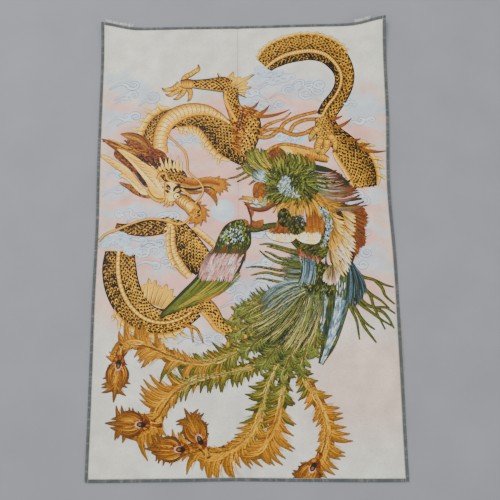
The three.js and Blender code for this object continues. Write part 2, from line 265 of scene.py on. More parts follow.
class Groups:
    """The shader node groups that the finishes share, each built once."""

    made: dict[str, bpy.types.NodeTree] = {}

    @classmethod
    def start(cls, name: str, ins: dict[str, float | Colour | None], outs: dict[str, str]) -> Wiring:
        """Open a new group.

        Args:
            name: the group's name.
            ins: input name to its value: a number, a colour, or None for a vector.
            outs: output name to Float or Color.

        Returns:
            The wiring of the new group, with its input and output nodes as .source and .sink.
        """
        tree = bpy.data.node_groups.new(name, "ShaderNodeTree")
        for key, value in ins.items():
            kind = {type(None): "Vector", tuple: "Color"}.get(type(value), "Float")
            socket = tree.interface.new_socket(key, in_out="INPUT", socket_type=f"NodeSocket{kind}")
            if value is not None:
                socket.default_value = (*value, 1.0) if kind == "Color" else value
        for key, kind in outs.items():
            tree.interface.new_socket(key, in_out="OUTPUT", socket_type=f"NodeSocket{kind}")
        wiring = Wiring(tree)
        wiring.source = tree.nodes.new("NodeGroupInput")
        wiring.sink = tree.nodes.new("NodeGroupOutput")
        cls.made[name] = tree
        return wiring

    @classmethod
    def weave(cls) -> None:
        """Warp and weft crossings: a height and a mask of the sunk gaps between yarns."""
        ins = {"Cut": None, "Warp Pitch": 0.0006, "Weft Pitch": 0.0005, "Slub": 0.3}
        w = cls.start("weave", ins, {"Height": "Float", "Gap": "Float"})
        wobble = w.node("ShaderNodeTexNoise", {"Vector": w.source.outputs["Cut"], "Scale": 160.0, "Detail": 2.0})
        axes = w.node("ShaderNodeSeparateXYZ", {0: w.source.outputs["Cut"]})
        shift = w.math("MULTIPLY", wobble.outputs[0], w.source.outputs["Slub"])
        turns = []
        for axis, pitch in ((0, "Warp Pitch"), (1, "Weft Pitch")):
            count = w.math("DIVIDE", axes.outputs[axis], w.source.outputs[pitch])
            turns.append(w.math("ADD", w.math("MULTIPLY", count, math.tau), w.math("MULTIPLY", shift, 9.0)))
        across = w.math("SINE", turns[0])
        along = w.math("SINE", w.math("ADD", turns[1], w.math("MULTIPLY", turns[0], 0.5)))
        height = w.math("MULTIPLY_ADD", w.math("MULTIPLY", across, along), 0.35, w.math("MULTIPLY", along, 0.3))
        w.tree.links.new(w.math("ADD", height, 0.5), w.sink.inputs["Height"])
        w.tree.links.new(w.ramp(height, 0.05, -0.5), w.sink.inputs["Gap"])

    @classmethod
    def flecks(cls) -> None:
        """Uneven dye with painted shade: broad mottling and yarn-sized flecks, and painted shade in the sunk gaps
        between the yarns.
        """
        ins = {"Cut": None, "Color": (0.5, 0.5, 0.5), "Gap": 0.0, "Mottle": 0.15, "Fleck": 0.3}
        ins |= {"Fleck Color": (0.6, 0.6, 0.5), "Fleck Size": 0.0022}
        w = cls.start("flecks", ins, {"Color": "Color", "Mask": "Float"})
        cut = w.source.outputs["Cut"]
        broad = w.node("ShaderNodeTexNoise", {"Vector": cut, "Scale": 28.0, "Detail": 4.0, "Roughness": 0.6})
        size = w.math("DIVIDE", 1.0, w.source.outputs["Fleck Size"])
        squashed = w.node("ShaderNodeVectorMath", {0: cut, 1: (0.55, 1.0, 1.0)}, operation="MULTIPLY")
        fine = w.node("ShaderNodeTexNoise", {"Vector": squashed.outputs[0], "Scale": size, "Detail": 2.5})
        yarn = w.node("ShaderNodeTexNoise", {"Vector": cut, "Scale": 1900.0, "Detail": 1.0})
        shade = w.math("MULTIPLY", w.math("SUBTRACT", broad.outputs[0], 0.5), w.source.outputs["Mottle"])
        grain = w.math("MULTIPLY", w.math("SUBTRACT", yarn.outputs[0], 0.5), 0.45)
        # painted shade: darkens the colour where the weave's gap mask marks a sunk gap
        gap = w.math("MULTIPLY", w.source.outputs["Gap"], -0.22)
        total = w.math("ADD", w.math("MULTIPLY_ADD", shade, 3.0, 1.0), w.math("ADD", grain, gap))
        scaled = w.node("ShaderNodeVectorMath", {0: w.source.outputs["Color"], 3: total}, operation="SCALE")
        mask = w.math("MULTIPLY", w.ramp(fine.outputs[0], 0.54, 0.68), w.source.outputs["Fleck"])
        w.tree.links.new(w.mix(mask, scaled.outputs[0], w.source.outputs["Fleck Color"]), w.sink.inputs["Color"])
        w.tree.links.new(mask, w.sink.inputs["Mask"])

    @classmethod
    def silk_sheen(cls) -> None:
        """Roughness of silk yarn: glossier on the crests, duller in the gaps, with rubbed streaks."""
        ins = {"Cut": None, "Height": 0.5, "Low": 0.35, "High": 0.6}
        w = cls.start("silk_sheen", ins, {"Roughness": "Float"})
        long = w.node("ShaderNodeVectorMath", {0: w.source.outputs["Cut"], 1: (1.0, 9.0, 1.0)}, operation="MULTIPLY")
        streak = w.node("ShaderNodeTexNoise", {"Vector": long.outputs[0], "Scale": 55.0, "Detail": 3.0})
        share = w.math("ADD", w.math("MULTIPLY", streak.outputs[0], 0.6),
                       w.math("MULTIPLY", w.source.outputs["Height"], -0.3))
        span = w.math("SUBTRACT", w.source.outputs["High"], w.source.outputs["Low"])
        rough = w.math("MULTIPLY_ADD", w.math("ADD", share, 0.3), span, w.source.outputs["Low"])
        w.tree.links.new(rough, w.sink.inputs["Roughness"])

    @classmethod
    def thread_ply(cls) -> None:
        """The twist of a spun thread, from its length and turn round it, with a painted shade that darkens the grooves
        between the plies and lightens their crests.
        """
        ins = {"Along": 0.0, "Round": 0.0, "Twist": 0.0016}
        w = cls.start("thread_ply", ins, {"Height": "Float", "Shade": "Float"})
        turn = w.math("DIVIDE", w.source.outputs["Along"], w.source.outputs["Twist"])
        phase = w.math("MULTIPLY", w.math("ADD", turn, w.math("MULTIPLY", w.source.outputs["Round"], 2.0)), math.tau)
        height = w.math("MULTIPLY_ADD", w.math("SINE", phase), 0.5, 0.5)
        w.tree.links.new(height, w.sink.inputs["Height"])
        # painted shade: Shade darkens the twist's grooves and lightens its crests
        w.tree.links.new(w.math("MULTIPLY_ADD", height, 0.45, 0.7), w.sink.inputs["Shade"])


@dataclass(frozen=True)
class Silk:
    """A woven finish whose colour comes from each stroke's own dye, with painted shade in the sunk gaps of the weave.
    """

    name: str
    warp_pitch: float = 0.0007
    weft_pitch: float = 0.00055
    bump: float = 0.35
    rough: tuple[float, float] = (0.38, 0.66)
    mottle: float = 0.16
    fleck: float = 0.35
    fleck_dye: Dye = Dye.IVORY
    fleck_size: float = 0.0022
    metallic: float = 0.0
    sheen: float = 0.05
    rise: float = 0.00025

    def build(self) -> bpy.types.Material:
        """Make the material."""
        w = Wiring.material(self.name)
        cut, dye = w.attribute("cut", "Vector"), w.attribute("dye", "Color")
        weave = w.group("weave", {"Cut": cut, "Warp Pitch": self.warp_pitch, "Weft Pitch": self.weft_pitch})
        values = {"Cut": cut, "Color": dye, "Gap": weave.outputs["Gap"], "Mottle": self.mottle, "Fleck": self.fleck}
        values |= {"Fleck Color": (*self.fleck_dye.rgb, 1.0), "Fleck Size": self.fleck_size}
        flecks = w.group("flecks", values)
        ends = {"Low": self.rough[0], "High": self.rough[1]}
        sheen = w.group("silk_sheen", {"Cut": cut, "Height": weave.outputs["Height"], **ends})
        rise = {"Strength": self.bump, "Distance": self.rise, "Height": weave.outputs["Height"]}
        return w.finish(
            Base_Color=flecks.outputs["Color"],
            Roughness=sheen.outputs["Roughness"],
            Normal=w.node("ShaderNodeBump", rise).outputs[0],
            Metallic=self.metallic,
            Sheen_Weight=self.sheen,
            Sheen_Roughness=0.45,
            Specular_IOR_Level=0.25,
        )


@dataclass(frozen=True)
class Spun:
    """Spun overlock thread, twisted from two plies."""

    name: str
    rough: float = 0.78
    rise: float = 0.0002

    def build(self) -> bpy.types.Material:
        """Make the material."""
        w = Wiring.material(self.name)
        axes = w.node("ShaderNodeSeparateXYZ", {0: w.attribute("cut", "Vector")})
        ply = w.group("thread_ply", {"Along": axes.outputs[0], "Round": axes.outputs[1]})
        place = w.node("ShaderNodeTexCoord").outputs["Object"]
        values = {"Cut": place, "Color": w.attribute("dye", "Color"), "Mottle": 0.2, "Fleck": 0.2}
        values["Fleck Color"] = (*Dye.THREAD_DARK.rgb, 1.0)
        flecks = w.group("flecks", values)
        # painted shade from the twist scales the thread's colour
        shaded = w.node("ShaderNodeVectorMath", {0: flecks.outputs["Color"], 3: ply.outputs["Shade"]},
                        operation="SCALE")
        bump = w.node("ShaderNodeBump", {"Strength": 0.6, "Distance": self.rise, "Height": ply.outputs["Height"]})
        return w.finish(
            Base_Color=shaded.outputs[0],
            Roughness=w.math("MULTIPLY_ADD", ply.outputs["Height"], -0.12, self.rough),
            Normal=bump.outputs[0],
            Sheen_Weight=0.2,
            Sheen_Roughness=0.5,
        )


FINISHES = {
    "ground_cloth": Silk("ground_cloth", bump=0.45, mottle=0.2, fleck=0.4, fleck_dye=Dye.SAND, fleck_size=0.0026,
                         sheen=0.1),
    "overlock_thread": Spun("overlock_thread"),
    "gold_weft": Silk("gold_weft", rough=(0.3, 0.6), fleck=0.55, fleck_dye=Dye.UMBER, fleck_size=0.0028,
                      metallic=0.15),
    "palegold_weft": Silk("palegold_weft", rough=(0.32, 0.6), fleck=0.35, fleck_dye=Dye.AMBER, fleck_size=0.0026,
                          metallic=0.1),
    "rust_weft": Silk("rust_weft", fleck=0.5, fleck_dye=Dye.UMBER, fleck_size=0.0026),
    "green_weft": Silk("green_weft", fleck=0.6, fleck_dye=Dye.PINE, fleck_size=0.0026),
    "blue_weft": Silk("blue_weft", fleck=0.55, fleck_dye=Dye.PINE, fleck_size=0.0026),
    "cream_weft": Silk("cream_weft", fleck=0.45, fleck_dye=Dye.AMBER, fleck_size=0.0024),
    "pale_weft": Silk("pale_weft", fleck=0.3, fleck_dye=Dye.WHITE, bump=0.3),
}


class Wardrobe:
    """Hands out each finish's material, made once."""

    def __init__(self) -> None:
        """Start with nothing made."""
        self.made: dict[str, bpy.types.Material] = {}

    def get(self, slot: str) -> bpy.types.Material:
        """The material of a slot."""
        if slot not in self.made:
            self.made[slot] = FINISHES[slot].build()
        return self.made[slot]


# ---- drawing with weft


class Spine:
    """A smooth line through [x, y, half width] stops, measured along its length."""

    def __init__(self, stops: Way, closed: bool = False) -> None:
        """Sample the line."""
        p = np.array(way(stops), float)
        if closed:
            p = np.vstack([p[-1], p, p[:2]])
        else:
            p = np.vstack([2 * p[0] - p[1], p, 2 * p[-1] - p[-2]])
            p[0, 2:] = p[1, 2:]
            p[-1, 2:] = p[-2, 2:]
        t = np.linspace(0, 1, 13)[:-1, None]
        rows = []
        for a, b, c, d in zip(p, p[1:], p[2:], p[3:]):
            bend, twist = 2 * a - 5 * b + 4 * c - d, 3 * b - a - 3 * c + d
            rows.append(0.5 * (2 * b + (c - a) * t + bend * t**2 + twist * t**3))
        self.rows = np.vstack([*rows, p[-2][None]])
        gaps = np.hypot(*np.diff(self.rows[:, :2], axis=0).T)
        self.run = np.concatenate([[0], np.cumsum(gaps)])
        self.length = float(self.run[-1])

    def at(self, s: float) -> np.ndarray:
        """x, y and half width at a distance along the line."""
        return np.array([np.interp(s, self.run, self.rows[:, k]) for k in range(self.rows.shape[1])])

    def heading(self, s: float) -> np.ndarray:
        """The unit direction of the line."""
        step = self.at(min(s + 1.5, self.length))[:2] - self.at(max(s - 1.5, 0))[:2]
        return step / max(1e-9, float(np.hypot(*step)))

    def off(self, s: float, side: float) -> Point:
        """A point beside the line: side 1 is its left rim, -1 its right rim."""
        x, y, half = self.at(s)
        tx, ty = self.heading(s)
        return (x - ty * half * side, y + tx * half * side)


class Weft:
    """The strokes of one figure, gathered flat in millimetres before they are laid on the cloth."""

    LAYER = 0.07

    def __init__(self, seed: int, tier: float = 0.0) -> None:
        """Start an empty figure at a tier of the picture."""
        self.points: list[tuple[float, float, float]] = []
        self.dyes: list[Colour] = []
        self.faces: list[tuple[int, ...]] = []
        self.tier = tier
        self.rng = random.Random(seed)
        self.count = 0

    def height(self, level: float) -> float:
        """The height over the cloth of a level, a hair more for each stroke so none lie in one plane."""
        self.count += 1
        return 0.09 + (self.tier + level) * self.LAYER + (self.count % 37) * 0.0012

    def add(self, points: Iterable[tuple[float, float, float]], dyes: Iterable[Colour],
            faces: Iterable[tuple[int, ...]]) -> None:
        """Add vertices and the faces between them."""
        base = len(self.points)
        self.points.extend(points)
        self.dyes.extend(dyes)
        self.faces.extend(tuple(base + i for i in f) for f in faces)

    def jitter(self, dye: Tint, amount: float = 0.1) -> Colour:
        """A dye lot: the colour a little lighter or darker."""
        k = 1 + self.rng.uniform(-amount, amount)
        return tuple(min(1.0, c * k) for c in tone(dye))

    def stroke(self, centre: Sequence[Point], halves: Sequence[float], dyes: Sequence[Colour], level: float,
               crown: float = 0.1) -> None:
        """A crowned stroke along a line, pointed or blunt at its ends by its widths.

        Args:
            centre: points along the middle.
            halves: half width at each point.
            dyes: colour at each point.
            level: level over the figure's tier.
            crown: rise of the middle line.
        """
        n = len(centre)
        h = self.height(level)
        c = np.array(centre, float)
        d = np.gradient(c, axis=0)
        d /= np.maximum(1e-9, np.hypot(d[:, 0], d[:, 1]))[:, None]
        points, colours, faces = [], [], []
        for i in range(n):
            x, y = c[i]
            nx, ny = -d[i][1] * halves[i], d[i][0] * halves[i]
            points += [(x + nx, y + ny, h), (x, y, h + crown), (x - nx, y - ny, h)]
            # painted shade: each rim is darkened a little toward soot, on the sloping sides of the stroke's crown
            edge = blend(dyes[i], Dye.SOOT, 0.12)
            colours += [edge, dyes[i], edge]
        for i in range(n - 1):
            a, b = 3 * i, 3 * i + 3
            faces += [(a, a + 1, b + 1, b), (a + 1, a + 2, b + 2, b + 1), (a, b, b + 2, a + 2)]
        faces += [(0, 2, 1), (3 * n - 3, 3 * n - 2, 3 * n - 1)]
        self.add(points, colours, faces)

    def leaf(self, root: Point, tip: Point, width: float, dye: Tint, tip_dye: Tint | None = None,
             bend: float = 0.0, level: float = 0.0, fat: float = 0.4, rim: Tint | None = None) -> None:
        """A pointed stroke from root to tip.

        Args:
            root: where it starts.
            tip: where it ends in a point.
            width: its greatest width.
            dye: colour at the root.
            tip_dye: colour at the tip.
            bend: sideways bow, as a share of its length.
            level: level over the figure's tier.
            fat: where along it is widest, from 0 to 1.
            rim: colour of a wider stroke under it, if it has an outline.
        """
        dx, dy = tip[0] - root[0], tip[1] - root[1]
        n = 5 if math.hypot(dx, dy) < 16 else 8
        ts = [i / (n - 1) for i in range(n)]
        line = [(root[0] + dx * t - dy * bend * 4 * t * (1 - t),
                 root[1] + dy * t + dx * bend * 4 * t * (1 - t)) for t in ts]
        power = math.log(0.5) / math.log(fat)
        swell = [max(0.06, math.sin(math.pi * min(1, max(0, t**power))) ** 0.8) for t in ts]
        swell[0] = max(swell[0], 0.35)
        if rim:
            self.stroke(line, [width / 2 * s + 0.55 for s in swell], [tone(rim)] * n, level, 0.04)
            level += RIM_LEVEL
        end = tip_dye or dye
        self.stroke(line, [width / 2 * s for s in swell], [blend(dye, end, t) for t in ts], level)

    def ribbon(self, spine: Spine | Way, dyes: str | Sequence[Tint], level: float, left: float = 1.0,
               right: float = -1.0, grow: float = 0.0, step: float = 5.0) -> None:
        """A flat band that follows a line.

        Args:
            spine: the line.
            dyes: colours across, from the left rim to the right rim.
            level: level over the figure's tier.
            left: left rim, as a share of the half width.
            right: right rim, as a share of the half width (negative is right of the line).
            grow: width added at both rims.
            step: distance between stations.
        """
        spine = spine if isinstance(spine, Spine) else Spine(spine)
        dyes = hues(dyes)
        rows = max(2, int(spine.length / step) + 1)
        cols = max(3, len(dyes))
        h = self.height(level)
        points, colours, faces = [], [], []
        for i in range(rows):
            s = spine.length * i / (rows - 1)
            x, y, half = spine.at(s)
            tx, ty = spine.heading(s)
            for j in range(cols):
                k = j / (cols - 1)
                w = (left + (right - left) * k) * half + grow * (1 - 2 * k)
                crown = 0.05 * math.sin(math.pi * k)
                points.append((x - ty * w, y + tx * w, h + crown))
                q = k * (len(dyes) - 1)
                a = min(int(q), len(dyes) - 2) if len(dyes) > 1 else 0
                colours.append(blend(dyes[a], dyes[min(a + 1, len(dyes) - 1)], q - a))
        for i in range(rows - 1):
            for j in range(cols - 1):
                a = i * cols + j
                faces.append((a, a + 1, a + cols + 1, a + cols))
            a = i * cols
            faces.append((a, a + cols, a + 2 * cols - 1, a + cols - 1))
        last = (rows - 1) * cols
        faces.append(tuple(range(cols - 1, -1, -1)))
        faces.append(tuple(range(last, last + cols)))
        self.add(points, colours, faces)

    def patch(self, outline: Way, dye: Tint, level: float, soft: bool = True,
              shade: Callable[[float, float], Colour] | None = None, mesh: float = 8.0,
              rim: Tint | None = None) -> None:
        """A filled area.

        Args:
            outline: corners, anticlockwise or clockwise.
            dye: its colour.
            level: level over the figure's tier.
            soft: round the corners.
            shade: colour at a point, in place of one colour.
            mesh: distance between the points inside.
            rim: colour of a line round it, if it has an outline.
        """
        edge = np.array(way(outline), float)
        if soft:
            loop = Spine([(x, y, 1) for x, y in edge], closed=True)
            n = max(8, int(loop.length / 4))
            edge = np.array([loop.at(loop.length * i / n)[:2] for i in range(n)])
        if rim:
            line = Spine([(x, y, 1.0) for x, y in edge], closed=True)
            self.ribbon(line, [rim], level, step=4)
            level += RIM_LEVEL
        lo, hi = edge.min(0), edge.max(0)
        inside = []
        for gx in np.arange(lo[0] + mesh / 2, hi[0], mesh):
            for gy in np.arange(lo[1] + mesh / 2, hi[1], mesh):
                gap = np.hypot(*(edge - (gx, gy)).T).min()
                if gap > 2.5 and within(edge, gx, gy):
                    inside.append((gx, gy))
        verts = [Vector(p) for p in [*map(tuple, edge), *inside]]
        loop_edges = [(i, (i + 1) % len(edge)) for i in range(len(edge))]
        got = delaunay_2d_cdt(verts, loop_edges, [], 1, 1e-4)
        flat, tris, origin = got[0], got[2], got[3]
        onrim = {i for i, o in enumerate(origin) if not o or any(k < len(edge) for k in o)}
        h, n = self.height(level), len(flat)
        tint = shade or (lambda x, y: tone(dye))
        points = [(p.x, p.y, h if i in onrim else h + 0.05) for i, p in enumerate(flat)]
        points += [(p.x, p.y, h - 0.03) for p in flat]
        faces = [tuple(t) for t in tris] + [tuple(n + i for i in reversed(t)) for t in tris]
        used = {(t[i], t[(i + 1) % 3]) for t in tris for i in range(3)}
        faces += [(j, i, n + i, n + j) for i, j in used if (j, i) not in used]
        self.add(points, [tint(p.x, p.y) for p in flat] * 2, faces)

    def bead(self, x: float, y: float, heading: float, long: float, wide: float, dye: Tint, tip: Tint,
             level: float) -> None:
        """A small rounded scale or spot, blunt at the back and pointed ahead.

        Args:
            x: its middle.
            y: its middle.
            heading: angle that it points at.
            long: its length.
            wide: its width.
            dye: colour at the back.
            tip: colour at the point.
            level: level over the figure's tier.
        """
        h = self.height(level)
        c, s = math.cos(heading), math.sin(heading)
        shape = way("-0.5 0, -0.38 0.36, -0.05 0.5, 0.28 0.34, 0.5 0, 0.28 -0.34, -0.05 -0.5, -0.38 -0.36")
        rim = [(x + c * u * long - s * v * wide, y + s * u * long + c * v * wide, h) for u, v in shape]
        points = [*rim, (x, y, h + 0.09), (x, y, h - 0.02)]
        colours = [blend(dye, tip, u + 0.5) for u, _ in shape] + [tone(dye)] * 2
        faces = [(i, (i + 1) % 8, 8) for i in range(8)] + [((i + 1) % 8, i, 9) for i in range(8)]
        self.add(points, colours, faces)


def within(rim: np.ndarray, x: float, y: float) -> bool:
    """Whether a point is inside a closed outline."""
    a, b = rim, np.roll(rim, -1, axis=0)
    cross = (a[:, 1] > y) != (b[:, 1] > y)
    with np.errstate(divide="ignore", invalid="ignore"):
        at = (b[:, 0] - a[:, 0]) * (y - a[:, 1]) / (b[:, 1] - a[:, 1]) + a[:, 0]
    return bool(np.count_nonzero(cross & (x < at)) % 2)


class Brush(Weft):
    """Larger marks made of strokes: scaled bodies, fins, claws, tufts and plumes."""

    DEEP = yarns("rust amber gold amber straw rust")

    def speckle(self, outline: Way, count: int, dyes: Yarns, long: float, wide: float, turn: float,
                level: float) -> None:
        """Short flecks scattered over an area.

        Args:
            outline: corners of the area.
            count: number of flecks.
            dyes: colours, taken at random.
            long: length of a fleck.
            wide: width of a fleck.
            turn: angle that the flecks lie at.
            level: level over the figure's tier.
        """
        rim, dyes = np.array(way(outline), float), yarns(dyes)
        (x0, y0), (x1, y1) = rim.min(0), rim.max(0)
        for _ in range(6 * count):
            x, y = self.rng.uniform(x0, x1), self.rng.uniform(y0, y1)
            if count and within(rim, x, y):
                count -= 1
                dye = self.jitter(self.rng.choice(dyes), 0.15)
                size = self.rng.uniform(0.7, 1.3)
                self.bead(x, y, turn + self.rng.uniform(-0.5, 0.5), long * size, wide * size, dye, dye,
                          level + self.rng.random())

    def round(self, x: float, y: float, radius: float, count: int, dyes: Yarns, level: float,
              squash: float = 0.95) -> None:
        """A round area of flecks over a dark ground."""
        dyes, turns = yarns(dyes), [math.tau * k / 10 for k in range(10)]
        ring = [(x + radius * math.cos(a), y + radius * squash * math.sin(a)) for a in turns]
        self.patch(ring, dyes[0], level)
        self.speckle(ring, count, dyes, 5.5, 2.8, 1.2, level + 1)

    def scales(self, spine: Spine, low: float, high: float, size: float = 8.0, facing: int = 1, level: float = 2.0,
               skip: tuple[float, float] | None = None, dark: tuple[float, float] = (0.6, 0.6),
               fade: float = 0.0) -> None:
        """Overlapping scales over a band, with dark hollows between them.

        Args:
            spine: line of the body.
            low: right rim of the scaled part, as a share of the half width.
            high: left rim of the scaled part.
            size: breadth of a scale.
            facing: 1 where the scales point along the line, -1 where they point back.
            level: level over the figure's tier.
            skip: a band of shares left bare.
            dark: how dark the scales are at the right rim and at the left rim, from 0 to 1.
            fade: share of that darkness lost towards the end of the line.
        """
        rows = max(1, int(spine.length / (size * 0.64)))
        for i in range(rows):
            s = (i + 0.5) * spine.length / rows
            count = max(1, round((high - low) * spine.at(s)[2] / size))
            for j in range(count + 1):
                share = low + (high - low) * (j + (0.5 if i % 2 else 0.0)) / count
                if share > high - 0.04 or share < low + 0.04 or (skip and skip[0] < share < skip[1]):
                    continue
                x, y = spine.off(s + self.rng.uniform(-0.8, 0.8), share)
                tx, ty = spine.heading(s) * facing
                turn = math.atan2(ty, tx) + self.rng.uniform(-0.2, 0.2)
                side = (share - low) / (high - low)
                dusk = (dark[0] + (dark[1] - dark[0]) * side) * (1 - fade * s / spine.length)
                dusk = min(1.0, max(0.0, dusk + self.rng.uniform(-0.16, 0.16)))
                dye = self.jitter(blend(Dye.STRAW, Dye.AMBER, dusk * 0.5), 0.25)
                self.bead(x, y, turn, size * 1.02, size * (0.94 - 0.2 * dusk), dye, blend(dye, Dye.AMBER, 0.5), level)
                big = size * (0.36 + 0.46 * dusk) * self.rng.uniform(0.8, 1.15)
                ahead = size * (0.2 - 0.14 * dusk)
                skew = turn + self.rng.uniform(-0.8, 0.8)
                spot = blend(Dye.SOOT, Dye.UMBER, self.rng.random() * (1.1 - dusk))
                x, y = x + math.cos(turn) * ahead, y + math.sin(turn) * ahead
                self.bead(x, y, skew, big * 1.2, big * 0.8, spot, spot, level + 1.2)

    def hide(self, stops: Way, belly: tuple[float, float] | None = None, facing: int = 1, size: float = 8.0,
             dark: tuple[float, float] = (0.6, 0.6), fade: float = 0.0, ribs: float = 7.0) -> None:
        """A length of scaled body with a dark outline, and a ribbed belly band where one shows.

        Args:
            stops: x, y and half width along it.
            belly: right and left rim of the belly band, as shares of the half width.
            facing: which way the scales point.
            size: breadth of a scale.
            dark: how dark the scales are at the right rim and at the left rim.
            fade: share of that darkness lost towards the end.
            ribs: distance between the ribs of the belly band.
        """
        spine = Spine(stops)
        self.ribbon(spine, "soot", 0, grow=1.5)
        across = [blend(Dye.GOLD, Dye.UMBER, k) for k in (dark[1], 0.5 * (dark[0] + dark[1]), dark[0])]
        self.ribbon(spine, [Dye.SOOT, *across, Dye.SOOT], 1)
        skip = (belly[0] - 0.05, belly[1] + 0.05) if belly else None
        self.scales(spine, -1, 1, size, facing, skip=skip, dark=dark, fade=fade)
        if belly:
            self.plates(spine, belly[1], belly[0], ribs)

    def plates(self, spine: Spine, left: float = 1.0, right: float = -1.0, pitch: float = 7.0,
               level: float = 3.0) -> None:
        """A pale belly band with thin ribs across it.

        Args:
            spine: line of the body.
            left: left rim of the band, as a share of the half width.
            right: its right rim.
            pitch: distance between ribs.
            level: level over the figure's tier.
        """
        self.ribbon(spine, "soot", level, left, right, 0.9)
        self.ribbon(spine, "amber straw cream straw gold", level + RIM_LEVEL, left, right)
        for i in range(1, int(spine.length / pitch)):
            s = i * pitch
            a, b = spine.off(s, left * 0.98), spine.off(s + 1.5, right * 0.98)
            self.leaf(a, b, 1.2, Dye.UMBER, Dye.AMBER, 0.14, level + 1.9, 0.5)

    def fringe(self, spine: Spine, side: int, start: float = 0.0, stop: float = 1.0, long: float = 12.0,
               pitch: float = 10.0,
               lean: float = 0.7, level: float = 0.0, strip: float = 6.0) -> None:
        """A ribbed strip along one rim of a body, with a row of spines on it.

        Args:
            spine: line of the body.
            side: 1 for its left rim, -1 for its right rim.
            start: share of the length where the row starts.
            stop: share of the length where it ends.
            long: length of a spine.
            pitch: distance between spines.
            lean: how far each leans along the line, as a share of its length.
            level: level over the figure's tier.
            strip: breadth of the strip.
        """
        outward = np.array([-side, side])
        beside = lambda s, out: spine.at(s)[:2] + (spine.at(s)[2] + out) * outward * spine.heading(s)[::-1]
        stops = []
        for t in np.linspace(start, stop, 13):
            thin = min(1.0, 0.35 + 5 * min(t - start, stop - t) / (stop - start))
            stops.append((*beside(t * spine.length, strip * thin / 2 - 1), strip * thin / 2))
        edge = Spine(stops)
        self.ribbon(edge, "umber", level, grow=1.0)
        self.ribbon(edge, hues("cream straw amber")[::side], level + 1.9)
        for i in range(max(1, int(spine.length * (stop - start) / pitch))):
            s = spine.length * start + (i + 0.5) * pitch
            tx, ty = spine.heading(s)
            nx, ny = -ty * side, tx * side
            out = long * (0.8 + 0.35 * math.sin(i * 1.7) ** 2)
            root = tuple(beside(s, strip - 4))
            tip = (root[0] + nx * out + tx * lean * out, root[1] + ny * out + ty * lean * out)
            dye = self.jitter(Dye.STRAW)
            self.leaf(root, tip, pitch * 0.62, dye, Dye.CREAM, 0.1 * side, level + 0.6, 0.25, Dye.SOOT)
            foot, end = tuple(beside(s, -1)), (tip[0] - nx * 4, tip[1] - ny * 4)
            self.leaf(foot, end, 1.5, Dye.UMBER, Dye.AMBER, 0.12 * side, level + 3)

    def fan(self, root: Way, tips: Way, level: float = 0.0, deep: float = 0.3) -> None:
        """A webbed fin: ribs from a root line to its tips with skin between them.

        Args:
            root: two ends of the root line.
            tips: tip of each rib, in order along the root.
            level: level over the figure's tier.
            deep: how far the skin is cut back between two tips.
        """
        (ax, ay), (bx, by) = way(root)
        tips = way(tips)
        n = len(tips)
        feet = [(ax + (bx - ax) * i / max(1, n - 1), ay + (by - ay) * i / max(1, n - 1)) for i in range(n)]
        edge: list[Point] = [feet[0]]
        for i, tip in enumerate(tips):
            edge.append(tip)
            if i < n - 1:
                mx, my = (tip[0] + tips[i + 1][0]) / 2, (tip[1] + tips[i + 1][1]) / 2
                fx, fy = (feet[i][0] + feet[i + 1][0]) / 2, (feet[i][1] + feet[i + 1][1]) / 2
                edge.append((mx + (fx - mx) * deep, my + (fy - my) * deep))
        edge.append(feet[-1])
        shade = lambda x, y: blend(Dye.AMBER, Dye.STRAW, min(1, math.dist((x, y), feet[n // 2]) / 26))
        self.patch(edge, Dye.STRAW, level, soft=False, shade=shade, rim=Dye.UMBER)
        for foot, tip in zip(feet, tips):
            self.leaf(foot, tip, 2.2, Dye.UMBER, Dye.AMBER, level=level + 2, fat=0.3)
            inner = (foot[0] + (tip[0] - foot[0]) * 0.9 + 1, foot[1] + (tip[1] - foot[1]) * 0.9 + 1)
            self.leaf((foot[0] + 1.8, foot[1] + 1.8), inner, 1.8, Dye.CREAM, level=level + 2.5)

    def limb(self, stops: Way, scaled: bool = True, level: float = 0.0,
             dark: tuple[float, float] = (0.7, 0.4)) -> None:
        """A leg or arm: a tapering band, scaled or smooth.

        Args:
            stops: x, y and half width along it.
            scaled: scales, or thin ribs if not.
            level: level over the figure's tier.
            dark: how dark the scales are at the right rim and at the left rim.
        """
        spine = Spine(stops)
        self.ribbon(spine, "soot", level, grow=1.3)
        self.ribbon(spine, "amber straw gold umber", level + 1)
        if scaled:
            self.scales(spine, -1, 0.9, 7.0, level=level + 2, dark=dark)
        else:
            for i in range(1, int(spine.length / 5)):
                a, b = spine.off(i * 5, 0.7), spine.off(i * 5 + 2, -0.8)
                self.leaf(a, b, 1.1, Dye.UMBER, None, 0.15, level + 2, 0.5)

    def claw(self, stops: Way, level: float = 0.0, hook: float = 1.0) -> None:
        """A digit that ends in a pointed, hooked claw.

        Args:
            stops: x, y and half width along it.
            level: level over the figure's tier.
            hook: how far the claw turns to the left, or to the right below 0.
        """
        spine = Spine(stops)
        self.ribbon(spine, "soot", level, grow=1.1)
        self.ribbon(spine, "gold straw amber", level + 1)
        x, y, half = spine.at(spine.length)
        tx, ty = spine.heading(spine.length)
        tip = (x + tx * 11 - ty * 6 * hook, y + ty * 11 + tx * 6 * hook)
        root = (x - tx * 4, y - ty * 4)
        self.leaf(root, tip, half * 2.3, Dye.STRAW, Dye.SOOT, -0.2 * hook, level + 2, 0.22, Dye.SOOT)
        for share in (0.3, 0.5, 0.7):
            s = spine.length * share
            self.leaf(spine.off(s, 0.8), spine.off(s, -0.8), 1.2, Dye.UMBER, None, 0.25, level + 2, 0.5)

